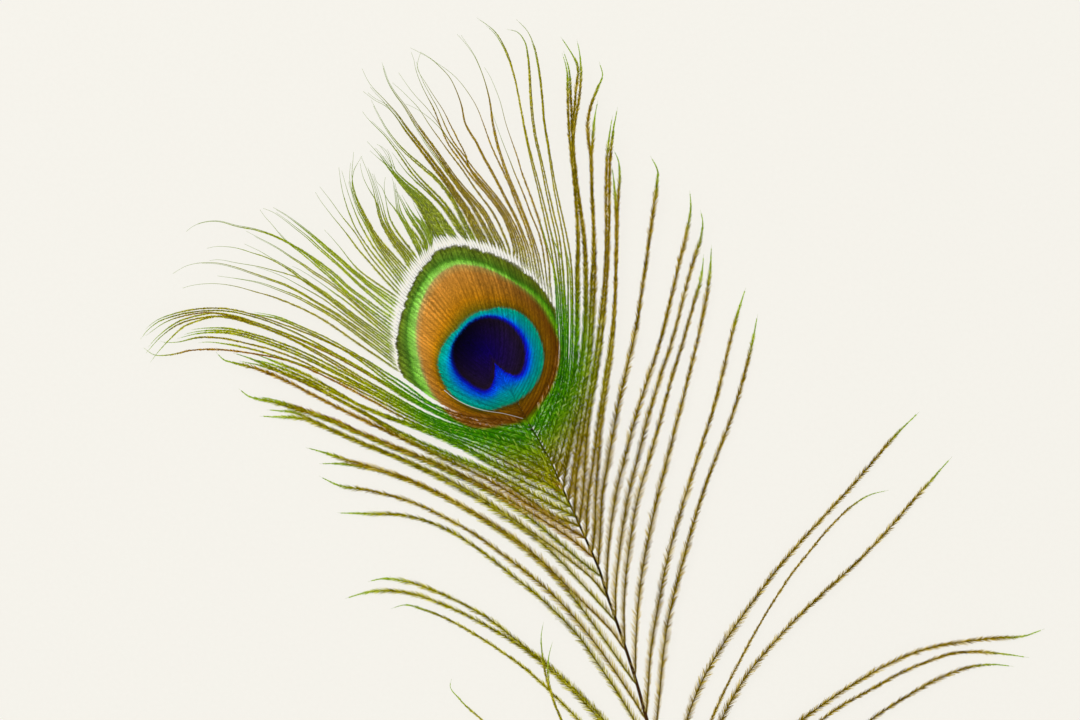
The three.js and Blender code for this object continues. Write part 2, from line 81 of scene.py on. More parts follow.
LEFT_LOCKS = [
    lock(1, 1.4, 1.5, [
        (22.5, -112), (16, -97), (6, -78), (-6, -61), (-18, -49), (-30.5, -38.4), (-36.5, -33),
        (-39, -29.4), (-38.6, -27.6),
    ], fringe=0.5),
    lock(2, 5.5, 2, [
        (21.8, -101), (15, -85.5), (6, -68), (-2, -54.5), (-7, -45), (-10, -38.3), (-12.8, -31),
        (-13.6, -25.5), (-13.2, -21), (-12.4, -18),
    ], gap=0.3, fringe=0.5, ends=[
        [(-9.8, -38.5), (-12.3, -32.5), (-13.9, -28), (-14.7, -24), (-15.3, -20), (-15.4, -16),
         (-14.7, -12.5), (-13.5, -9.6)],
    ]),
    lock(1, 1.2, 0, [
        (19.6, -78), (15.5, -67), (9.5, -56.5), (2, -46.5), (-5.5, -38.5), (-12, -31.9),
        (-19, -25.4), (-27.5, -19.2), (-37, -13.6), (-45, -10.2), (-51, -8.7), (-54.3, -9.6),
    ], fringe=0.7),
    lock(2, 1.2, 0, [
        (18.6, -71), (13.8, -58.5), (7.6, -47.5), (0.5, -38.4), (-6.5, -31), (-14, -24), (-22, -18),
        (-30, -13.5), (-40, -8.7), (-50, -5.3), (-60, -5.1), (-66.3, -6.8),
    ], roots=(-2, 2), gap=0.5, ends=[
        [(-22, -17.4), (-28, -12.7), (-35, -8.6), (-42, -5.4), (-50, -2.7), (-56, -1.9),
         (-63.2, -3.4)],
    ]),
    lock(1, 1.4, 0, [
        (15.2, -50), (8.9, -38.3), (0.3, -25), (-6.3, -15.9), (-12, -10), (-17.3, -5.2),
        (-22.5, -1.2), (-29.7, 4.6), (-40, 11.2), (-50, 14.5), (-60, 15.1), (-68.3, 15.4),
    ]),
    lock(1, 1.4, 1, [
        (12.3, -39), (6.9, -30.4), (0.1, -20.3), (-6.8, -11.8), (-12.6, -5.6), (-18.8, -0.2),
        (-25.2, 4.7), (-33, 10.2), (-40, 14.1), (-50, 18.7), (-60, 21.2), (-68.5, 22.7),
        (-73, 24.9),
    ], warm=(0.6,)),
    lock(2, 1.6, 0, [
        (8.1, -24.5), (3, -17.7), (-2.8, -10.6), (-7.4, -5.3), (-12.4, 0), (-17.7, 4.9),
        (-25, 10.4), (-32, 14.9), (-40, 19.4), (-50, 24), (-60, 27.1), (-67, 28.2), (-73, 28.2),
    ], roots=(-5.4, 3.8), gap=0.5, warm=(0.3, 0.7), ends=[
        [(-61, 27.6), (-66, 28.9), (-70, 30.3), (-76, 32), (-81, 33)],
    ]),
    lock(2, 1.6, 0, [
        (3.2, -9.9), (-1.1, -4.8), (-6, 0), (-12.8, 6.2), (-19, 11), (-25, 15.2), (-32, 19.7),
        (-40, 24), (-46, 26.9), (-55, 30.8), (-62, 33.6), (-70, 37), (-76, 39.6), (-80, 40.1),
        (-85, 40.3), (-88.5, 40.5),
    ], roots=(-3.6, 3.1), warm=(0.2, 0.4), ends=[
        [(-74, 38.7), (-79, 41.2), (-84, 41.8), (-88, 42), (-90.4, 41.7), (-92.4, 40.7)],
    ]),
    lock(2, 1.8, 2, [
        (-1, 1.8), (-5, 5), (-10, 8.9), (-15, 12.6), (-20, 16), (-25, 19.2), (-30, 22.1), (-38, 26),
        (-46, 29.4), (-55, 33.1), (-62, 36.1), (-70, 39.6), (-78, 42.4), (-85, 44.6), (-91.5, 46.3),
        (-93.5, 48),
    ], roots=(-3.4, 1.9), warm=(0.1, 0.9)),
    lock(1, 1.8, 2, [
        (-4.1, 8.4), (-10, 12), (-15, 15.2), (-20, 18.5), (-25, 21.7), (-30, 24.6), (-35, 27.1),
        (-40, 29.4), (-50, 34.2), (-60, 38.9), (-70, 43.8), (-75, 46.3), (-82, 49.8), (-90, 53.1),
        (-94.5, 54.3), (-97.5, 55.2), (-99.6, 57.2),
    ], warm=(0.9,), fringe=0.85),
    lock(4, 1.8, 0, [
        (-6.7, 14.4), (-10.5, 16.6), (-15, 19.2), (-20, 22.2), (-25, 25.2), (-30, 27.9),
        (-35, 30.4), (-40, 32.6), (-50, 36.8), (-60, 41.6), (-68, 45.4), (-74, 48.5), (-80, 51.2),
        (-87, 53.9), (-93.8, 55.4),
    ], roots=(-2.9, 5.4), gap=0.78, warm=(0.5, 0.2, 0.1, 0.1), fringe=0.65, ends=[
        [(-74, 48.9), (-82, 52.2), (-88, 54.8), (-94, 56.9), (-98, 57.8)],
        [(-70, 47.4), (-76, 50.6), (-83, 53.6), (-90, 56.3), (-95, 57.4)],
    ]),
    lock(3, 1.8, 1.5, [
        (-9.5, 20.6), (-14, 23.2), (-20, 26.9), (-25, 29.8), (-30, 32.2), (-35, 34.3), (-40, 36),
        (-45, 38.1), (-50, 40.6), (-60, 46), (-70, 50.9), (-80, 54.9), (-90, 57), (-100, 58.1),
        (-106, 57.9), (-112, 56.7), (-115.5, 56.7), (-118.3, 58.5),
    ], roots=(0.4, 3.6), gap=0.8, warm=(1, 0.4, 0.2), fringe=0.4, ends=[
        [(-79, 55.4), (-85, 57.7), (-92, 59.6), (-98, 60.8), (-104, 60.9), (-110, 59.6),
         (-113, 59.6), (-116, 60.6)],
        [(-83, 55.6), (-90, 57.6), (-97, 59), (-102, 59.5), (-106, 59)],
    ]),
    lock(3, 2, 2, [
        (-11.9, 26), (-16, 28.2), (-20, 30.2), (-25, 32.5), (-30, 34.4), (-35, 36), (-40, 37.4),
        (-45, 39.5), (-50, 42.2), (-60, 47.6), (-70, 52.9), (-80, 57.7), (-90, 61.2), (-96, 62.6),
        (-100, 62.8), (-105, 62.4), (-109.8, 61.2),
    ], roots=(-0.8, 2.2), gap=0.62, warm=(0, 0.1, 0), fringe=0.45),
    lock(4, 2, 2, [
        (-14.3, 30.9), (-19, 33), (-25, 35), (-30, 36.4), (-35, 37.8), (-40, 39.5), (-45, 41.8),
        (-50, 44.6), (-60, 50.3), (-70, 56), (-80, 60.8), (-90, 64.6), (-96, 66.4), (-100, 66.9),
        (-104, 66.4), (-109, 64.9), (-114, 61.4), (-118, 57),
    ], roots=(-2, 2), gap=0.42, warm=(0.4, 0.2, 0.7, 0.1), fringe=0.34, ends=[
        [(-99, 66.6), (-104, 65.6), (-108, 64), (-112, 60.4), (-115.5, 56.4), (-118.3, 52)],
        [(-97, 66.4), (-101, 67), (-107, 66.4), (-112, 65), (-117, 61.8), (-119.2, 60)],
    ]),
    lock(4, 2.2, 3, [
        (-16.7, 35.3), (-20, 36.4), (-25, 37.3), (-30, 38.2), (-35, 39.4), (-40, 41.1), (-45, 43.4),
        (-50, 46.3), (-55, 49.6), (-62, 54.4), (-70, 58.7), (-80, 63.3), (-90, 66.7), (-97, 68.1),
        (-104, 68), (-110, 66.9), (-115, 65), (-118, 62.4), (-119.3, 60.6),
    ], roots=(-1.8, 2.4), gap=0.4, warm=(0.1, 0, 0.3, 0), fringe=0.34, ends=[
        [(-50, 47), (-55, 50.4), (-60, 54), (-66, 57.8), (-72, 61), (-78, 63.6), (-84, 66),
         (-89, 67), (-94, 67.8)],
    ]),
]
RIGHT_LOCKS = [
    lock(4, 2, 5, [
        (-11.6, 25.9), (-10, 32), (-8.4, 38.4), (-7, 45.2), (-5.9, 52.4), (-5.2, 60), (-4.9, 68),
        (-4.8, 78), (-4.9, 86), (-5.6, 94), (-6.5, 102), (-7.3, 109), (-7.8, 115.2), (-8.1, 123.5),
        (-8.5, 130.5), (-9.8, 134.9),
    ], roots=(-1.7, 3.6), gap=0.46, warm=(0.1, 0, 0, 0), fringe=0.65, ends=[
        [(-7.2, 111), (-7.2, 117.4), (-6.7, 124.4), (-6.3, 131.4), (-8.1, 134.9), (-10.7, 138.8),
         (-13.7, 143.6)],
        [(-7, 109), (-6.3, 116.6), (-5.2, 123.5), (-4.8, 129.7), (-5.4, 135.8), (-7.2, 141),
         (-9.8, 142.8)],
    ]),
    lock(2, 2, 5, [
        (-8.8, 19.6), (-7.8, 26), (-6.7, 33), (-5.4, 40.4), (-4.1, 48), (-3.1, 55), (-2.5, 62),
        (-2.1, 70), (-1.8, 80), (-1.8, 90), (-2.2, 100), (-2.6, 108), (-3.3, 113), (-3.3, 117.4),
        (-2.2, 121.8), (-0.6, 125.7), (0.5, 128.4), (-0.4, 132.3),
    ], roots=(-1.2, 2), gap=0.75, warm=(0.3, 0.1), fringe=0.72, ends=[
        [(-2.3, 108), (-1.9, 113), (-1.5, 117.4), (-0.6, 122.2), (0.2, 125.7)],
    ]),
    lock(2, 2, 5, [
        (-5.6, 12.8), (-5.1, 20), (-4.5, 29), (-3.4, 39), (-1.8, 49), (-0.2, 59), (0.8, 69),
        (1.5, 79), (1.8, 89), (1.8, 99), (2.1, 107), (2.9, 114.5), (4, 120.5),
    ], roots=(-0.5, 2.4), gap=0.75, fringe=0.72),
    lock(2, 1.8, 3, [
        (-2.9, 6.8), (-2.3, 13), (-1.9, 20), (-1, 30), (0.1, 40), (1.6, 50), (3, 60), (3.8, 70),
        (4.1, 80), (4.3, 90), (4.6, 98), (4.9, 103), (4.5, 107), (3.3, 109.6),
    ], roots=(-1.9, 2), gap=0.75, fringe=0.75, ends=[
        [(4.2, 95), (3.6, 102), (3.1, 106), (2.8, 111)],
    ]),
    lock(1, 1.6, 3, [
        (-0.5, 1.2), (-0.1, 9), (0.5, 20), (2.3, 30), (4.1, 40), (6.3, 50), (8.6, 60), (10.3, 70),
        (11.8, 80), (13.2, 90), (14.7, 100), (15, 104), (13.1, 108),
    ]),
    lock(1, 1.6, 2, [
        (1.8, -5.9), (1.9, 0), (2.7, 10), (4.2, 20), (6.6, 30), (9.1, 40), (12.3, 50), (15.6, 60),
        (18, 70), (20.3, 80), (22.8, 90), (23.5, 95), (23.2, 99),
    ]),
    lock(1, 1.6, 2, [
        (4.1, -12.4), (4, -5), (4.4, 1), (5.5, 10), (7.2, 20), (9.7, 30), (12.2, 40), (15.4, 50),
        (18.8, 60), (21.4, 70), (24, 80), (26.2, 87), (26.6, 91), (26, 94),
    ]),
    lock(1, 1.4, 1, [
        (6.5, -19.4), (6.2, -10), (6.7, 0), (8.1, 10), (10.1, 20), (12.8, 30), (15.6, 40),
        (18.4, 50), (21.5, 60), (24.4, 70), (26.3, 77), (26.9, 82.5),
    ]),
    lock(1, 1.4, 1, [
        (9.1, -27.5), (9.2, -20), (9.8, -10), (10.9, 0), (12.6, 10), (14.9, 20), (17.5, 30),
        (20.1, 40), (22.7, 50), (25.2, 60), (27.3, 70), (28.6, 78), (29, 85),
    ]),
    lock(1, 1.4, 0, [
        (12, -37.7), (12.4, -30), (13.1, -20), (14.7, -10), (16.7, 0), (19.3, 10), (22.1, 20),
        (25.3, 30), (28.7, 40), (31.4, 50), (33.7, 60), (36.2, 69), (37.8, 74),
    ]),
    lock(1, 1.2, 0, [
        (14.2, -46.2), (14.8, -38), (15.5, -30), (16.6, -20), (18.3, -10), (20.8, 0), (23.5, 10),
        (26.5, 20), (30.1, 30), (33.9, 40), (37.1, 50), (39.6, 60), (40.9, 67),
    ]),
    lock(1, 1.2, 0, [
        (17.8, -65.4), (19.5, -52), (22.6, -38.3), (26, -29.4), (30, -22), (35, -14.2), (40, -7.1),
        (45, -0.4), (50, 5.5), (55, 11.1), (60, 16.6), (65, 22), (70, 27.8), (77.5, 36.4),
        (83, 41.7),
    ]),
    lock(1, 1.2, 0, [
        (19.5, -77.6), (21.6, -63), (24.8, -50), (29, -38.3), (34, -27.4), (38, -19.6), (42, -12.4),
        (46, -5.8), (50, 0.1), (55, 6.2), (60, 12), (66, 17.6), (70, 20), (75, 21.3),
    ], fringe=0.55),
    lock(1, 1.2, 0, [
        (20.6, -87.6), (22.8, -71), (26.2, -54), (31, -39.4), (35.4, -31), (40, -24.2), (45, -18.2),
        (50, -12.8), (55, -8.1), (60, -3.5), (65, 1), (70, 5.9), (75, 11.2), (80, 17), (85, 22.6),
        (91.5, 30),
    ]),
    lock(1, 1.2, 0, [
        (21.6, -99), (24.8, -85), (31.6, -66.6), (40.6, -51), (52.4, -38.2), (60, -32.8),
        (67, -28.4), (75, -23.8), (82, -20.6), (88, -19), (95, -18), (102, -17.2), (110, -16.6),
        (115.5, -14.7),
    ]),
    lock(1, 1.2, 0, [
        (22.2, -108.4), (26.4, -91.4), (34, -72), (43.6, -55.4), (54.8, -40.6), (62, -35),
        (70, -30.6), (78, -26.2), (85, -23.2), (92, -21), (99, -20.7), (106, -21.4), (111.5, -22.2),
    ], fringe=0.85),
    lock(1, 1.2, 0, [
        (22.8, -119), (27.6, -102), (38, -79.6), (52, -58.8), (70, -38.6), (78, -33.2), (84, -29.6),
        (90, -26.6), (96, -24.6), (102, -23.9), (107.5, -24.4),
    ]),
]
FIRST_EDGE_LOCK = 22
EDGE_LOCKS = [     # crown_lock_22 on: from the shaft, up along the right edge of the eye
    lock(3, 2, 6, [
        (-17.2, 36.4), (-14.4, 42.2), (-12.2, 47.2), (-10.9, 52), (-10.4, 57), (-10.4, 62),
        (-10.8, 68), (-11.2, 75), (-12.3, 83.9), (-14.1, 92.2), (-15.9, 99.6), (-17.7, 106.5),
        (-19.5, 114.5), (-21.2, 123.5), (-22.7, 130.1), (-24.6, 135.3), (-27.3, 139.7),
        (-32, 143.3),
    ], roots=(-0.6, 1.2), gap=0.45, fringe=0.3, warm=(0.5,), ends=[
        [(-11.6, 77), (-13.2, 83), (-14.6, 87.8), (-15.8, 92)],
    ]),
    lock(3, 2, 6, [
        (-15.8, 33.9), (-13.2, 39.6), (-11.1, 45), (-9.7, 50.4), (-9.1, 56), (-9, 62), (-9.4, 69),
        (-9.9, 77), (-11, 87.3), (-12.4, 93), (-13.7, 98.7), (-15.2, 106), (-16.8, 113.1),
        (-17.7, 120.1), (-18.1, 127), (-18.6, 133.2), (-19.6, 137.5), (-21.4, 139.7),
        (-24.2, 140.4),
    ], roots=(-0.8, 1), gap=0.45, fringe=0.3, warm=(0.5,), ends=[
        [(-10.4, 82), (-12.2, 86), (-13.2, 89.6)],
    ]),
    lock(3, 2, 6, [
        (-14.4, 31.3), (-11.9, 37.4), (-10, 43.2), (-8.6, 49.4), (-7.9, 56), (-7.7, 62.6),
        (-7.7, 70), (-8, 79), (-9.4, 88.2), (-10.7, 94.3), (-12, 100.8), (-13.3, 109.6),
        (-14.4, 116.6), (-15, 123.5), (-15.9, 130.5), (-17.2, 136.2), (-19, 140.1), (-21.8, 143),
    ], roots=(-1, 1), gap=0.55, fringe=0.3, warm=(0.5,), ends=[
        [(-8, 79), (-8.8, 84), (-9.6, 88)],
    ]),
]

# ---------------------------------------------------------------------------------------------
# The eye and the crown, in plan. The eye's barbs follow the guides from the shaft to the rim, the
# lowest first. Beyond the rim they follow the strands in the same order.
# ---------------------------------------------------------------------------------------------

LEFT_EYE_GUIDES = [
    [(-18.5, 38.7), (-23, 39), (-28, 39.4), (-33, 40.7), (-38, 42.7), (-42.6, 45.3),
     (-47.4, 48.7), (-52, 52)],
    [(-21.4, 43.6), (-27, 45.4), (-33, 48.2), (-39, 51.8), (-45, 55.8), (-49.6, 59), (-53.8, 62)],
    [(-24.2, 48.8), (-29.6, 52.8), (-35.4, 57.6), (-41, 62.8), (-46, 67.4), (-51.8, 72.3)],
    [(-27, 53.8), (-31.6, 59.2), (-36.4, 65.4), (-41, 71.6), (-45, 76.6), (-47.7, 79.6)],
    [(-30.9, 61), (-34, 67.2), (-37.2, 73.4), (-40.2, 79), (-43.3, 84.2)],
]
RIGHT_EYE_GUIDES = [
    [(-18.2, 38.2), (-15.6, 42.4), (-13.4, 46.8), (-12, 51.5), (-11.5, 57), (-11.7, 63),
     (-12.3, 69), (-13, 75)],
    [(-22.4, 45.4), (-19.6, 50.4), (-18, 56), (-17.4, 62), (-17.8, 68.4), (-18.8, 74),
     (-20.6, 81)],
    [(-25.4, 50.8), (-23.9, 57), (-23.6, 64), (-24.8, 72), (-27, 79), (-28.8, 84.4)],
    [(-28.4, 56.6), (-28.9, 62.6), (-30.6, 70), (-33.2, 78), (-36, 85.8)],
    [(-30.9, 61), (-34.2, 68), (-37.8, 75.4), (-40.6, 80.8), (-42.2, 84.8)],
]


def strands(*rows):
    """Barbs that run on together beyond the rim. A row is the number of their crown lock, how many
    they are, their way and its other ends. For each barb: its lock's number, its way, and its
    place in the row of them."""
    barbs = []
    for number, count, way, *ends in rows:
        ways = [way] + [with_end(way, end) for group in ends for end in group]
        barbs += [(number, ways[i % len(ways)], i - (count - 1) / 2) for i in range(count)]
    return barbs


LEFT_STRANDS = strands(
    (1, 1, [
        (-52, 51.4), (-58, 55.7), (-62, 58.6), (-66, 61.5), (-70, 64.3), (-77, 68.4), (-83.6, 71.2),
        (-90, 73.1), (-94, 74.2), (-100, 75), (-107, 74.2), (-114.5, 70.4),
    ]),
    (2, 2, [
        (-53.4, 53.4), (-57, 56.5), (-60.5, 59.5), (-64.7, 63), (-70, 66.7), (-74.3, 69.1),
        (-78.2, 71.2), (-82.2, 72.8), (-88.9, 75.2), (-94, 76.2), (-101, 77.2),
    ]),
    (3, 2, [
        (-54, 55.2), (-57, 57.8), (-60, 60.5), (-64.1, 63.9), (-68.6, 67.2), (-74.3, 70.6),
        (-77.1, 72.3), (-81.3, 74.4), (-85.5, 75.9), (-89.8, 77.4), (-94, 78.9), (-100, 80.2),
        (-107, 79.4), (-112, 76.4),
    ]),
    (3, 1, [
        (-53.9, 56.4), (-57, 59.1), (-60.5, 62), (-64.5, 65.3), (-68.5, 68.4), (-72, 71),
        (-77.1, 74), (-82.7, 77), (-88, 78.9), (-92, 79.8),
    ]),
    (4, 3, [
        (-53.8, 57.8), (-57, 60.5), (-60.7, 63.6), (-65.8, 67.8), (-68.6, 70), (-71.4, 72.2),
        (-74.3, 74.2), (-77.1, 76.2), (-79.9, 78.3), (-82.7, 80), (-86.1, 81.7), (-89.8, 82.9),
        (-94, 84.2), (-99.5, 84.6), (-105.3, 83),
    ], [
        [(-77.1, 75.8), (-81.3, 77.3), (-84.7, 78.2), (-88.9, 79.3), (-94, 80.3), (-99, 81.2),
         (-104, 80.2), (-110, 78.6)],
        [(-86.1, 81.9), (-87.5, 82.8), (-89.8, 83.9), (-93.2, 85.5)],
    ]),
    (4, 1, [
        (-53.7, 59.6), (-57, 62.4), (-60, 65.1), (-63, 67.8), (-65.8, 70.2), (-68.6, 72.2),
        (-73.7, 75.8), (-77.6, 78.2), (-80.5, 79.6),
    ]),
    (5, 2, [
        (-53.6, 60.8), (-57.4, 64.1), (-60.2, 66.6), (-63, 69.1), (-65.8, 71.7), (-68.6, 74),
        (-71.4, 76), (-74.3, 77.9), (-77.1, 80), (-79.9, 81.8), (-82.7, 83.7), (-85.5, 85.3),
        (-88.9, 87), (-91.7, 88.5),
    ]),
    (6, 2, [
        (-53.5, 62), (-57.3, 65.2), (-60.2, 67.8), (-63, 70.4), (-65.8, 72.8), (-68.6, 75.4),
        (-71.4, 77.9), (-74.3, 80.4), (-77.1, 82.8), (-79.9, 84.8), (-82.2, 87), (-84.7, 90.1),
        (-86.7, 92.4), (-88.1, 94.6),
    ]),
    (6, 2, [
        (-53.4, 63.4), (-57.3, 66.6), (-60.2, 69.3), (-63, 71.9), (-65.8, 74.3), (-68.6, 77),
        (-71.4, 79.3), (-74.3, 81.5), (-77.1, 83.4), (-80.5, 85.3), (-85.5, 87.6), (-89.8, 88.9),
        (-94, 89.7), (-99, 91), (-105, 89.8), (-108, 87.4),
    ]),
    (7, 2, [
        (-53.2, 64.9), (-56.4, 67.8), (-59.8, 71.4), (-63, 74.9), (-65.5, 77.5), (-67.6, 79.5),
        (-70.4, 82), (-73.2, 84.5), (-76, 87.1), (-78.8, 89.3), (-81.6, 91.5), (-84.4, 93.4),
        (-88.1, 94.8),
    ]),
    (7, 3, [
        (-52.9, 66.4), (-57.3, 71), (-60.2, 74), (-62.5, 76.7), (-65, 79), (-67.5, 81.3),
        (-70, 83.4), (-72.8, 85.9), (-75.7, 88.4), (-78.5, 90.6), (-81.3, 92.6), (-84.1, 94.2),
        (-86.4, 95.2),
    ]),
    (8, 1, [
        (-52.5, 68), (-57.3, 72.6), (-60.4, 75.8), (-62.4, 77.9), (-64.7, 80.6), (-67.2, 83.9),
        (-70, 87.2), (-73.1, 90.6), (-75.1, 93.4),
    ]),
    (9, 1, [
        (-52.1, 69.2), (-54.5, 72.2), (-57.3, 76.3), (-60.2, 80.8), (-63, 84.2), (-65.8, 88),
        (-70, 93.2), (-73.1, 97.5), (-74.3, 100), (-75, 103.2),
    ]),
    (9, 1, [
        (-51.8, 70.3), (-53.9, 73), (-56.5, 76.9), (-59, 80.9), (-61.3, 84.8), (-63.5, 88.2),
        (-66.9, 92.4), (-69.7, 96.3), (-72.6, 100), (-74.8, 103),
    ]),
    (10, 1, [
        (-51.5, 71.4), (-53.6, 74.4), (-56, 78), (-58.6, 81.9), (-61, 85.6), (-63.3, 89.2),
        (-64.8, 92.6), (-66, 95.9), (-66.9, 99.4), (-67.4, 103), (-67.7, 106.6), (-67.2, 110.2),
    ]),
    (10, 1, [
        (-51.2, 72.4), (-53, 75.2), (-55.7, 79.2), (-58, 82.7), (-61, 87.9), (-62.6, 91.2),
        (-64.1, 95.1), (-65.4, 98.9), (-66.4, 102.5), (-67.2, 105.6), (-67.4, 108.5),
    ]),
    (10, 2, [
        (-50.8, 73.4), (-52.4, 75.9), (-54.7, 79.4), (-57, 83.3), (-58.8, 86.7), (-60.5, 90.2),
        (-62.1, 93), (-63.6, 96.9), (-64.7, 100.7), (-66.7, 105),
    ]),
    (11, 3, [
        (-50.3, 74.6), (-52.3, 77.6), (-54.5, 81), (-57.3, 85.5), (-59.6, 89.5), (-61.6, 93.2),
        (-63.3, 97), (-64.1, 99.9), (-64.4, 102.5), (-64.1, 106.1), (-63.6, 109.7), (-62.3, 112.7),
    ], [
        [(-64.1, 99.9), (-64, 102), (-63.3, 104.6), (-61.8, 106.9), (-60.4, 109.8)],
    ]),
    (12, 5, [
        (-49.6, 76.2), (-51.1, 79.2), (-52.3, 82), (-53.8, 85.1), (-55.1, 88.4), (-56.4, 92),
        (-57.4, 95.8), (-58.2, 99.4), (-59.2, 102.3), (-60.5, 105.6), (-61.7, 108.4),
    ], [
        [(-56.2, 92), (-57, 95.8), (-57.8, 99), (-58.8, 102), (-60, 105), (-61, 107)],
        [(-56.4, 91.5), (-58.2, 96.9), (-59.6, 99.2), (-61, 102), (-61.8, 105), (-62.1, 107.6)],
    ]),
    (12, 1, [
        (-48.8, 77.9), (-50.2, 80.6), (-51.8, 84.2), (-53.3, 87.8), (-54.6, 91.9), (-55.3, 95.5),
        (-55.8, 99.9), (-54.9, 104.4),
    ]),
    (13, 3, [
        (-48.2, 78.9), (-49, 83), (-50, 86.6), (-51, 90.2), (-52.1, 93.4), (-52.6, 96.6),
        (-53.2, 100.2), (-53.9, 103),
    ]),
    (13, 1, [
        (-47, 79.8), (-47.6, 83.6), (-48.7, 86.4), (-50.5, 89.4), (-52, 92), (-53.6, 94.6),
        (-55.4, 96.9), (-56.4, 99.4), (-58.2, 101.6), (-58.7, 104), (-58.5, 107.6),
    ]),
    (14, 2, [
        (-45.4, 81.6), (-46.6, 86.6), (-48.4, 90.2), (-50, 93.3), (-51.4, 96.4), (-52.8, 98.9),
        (-53.8, 102.5),
    ]),
    (14, 3, [
        (-44, 83.4), (-44.6, 86.9), (-46.6, 90.6), (-48.6, 93.6), (-50.6, 96.8), (-52.2, 99.6),
    ], [
        [(-46.3, 90.4), (-48, 92.4), (-50.2, 94.8)],
        [(-46, 89.6), (-47.6, 93.4), (-48.8, 96.4)],
    ]),
)
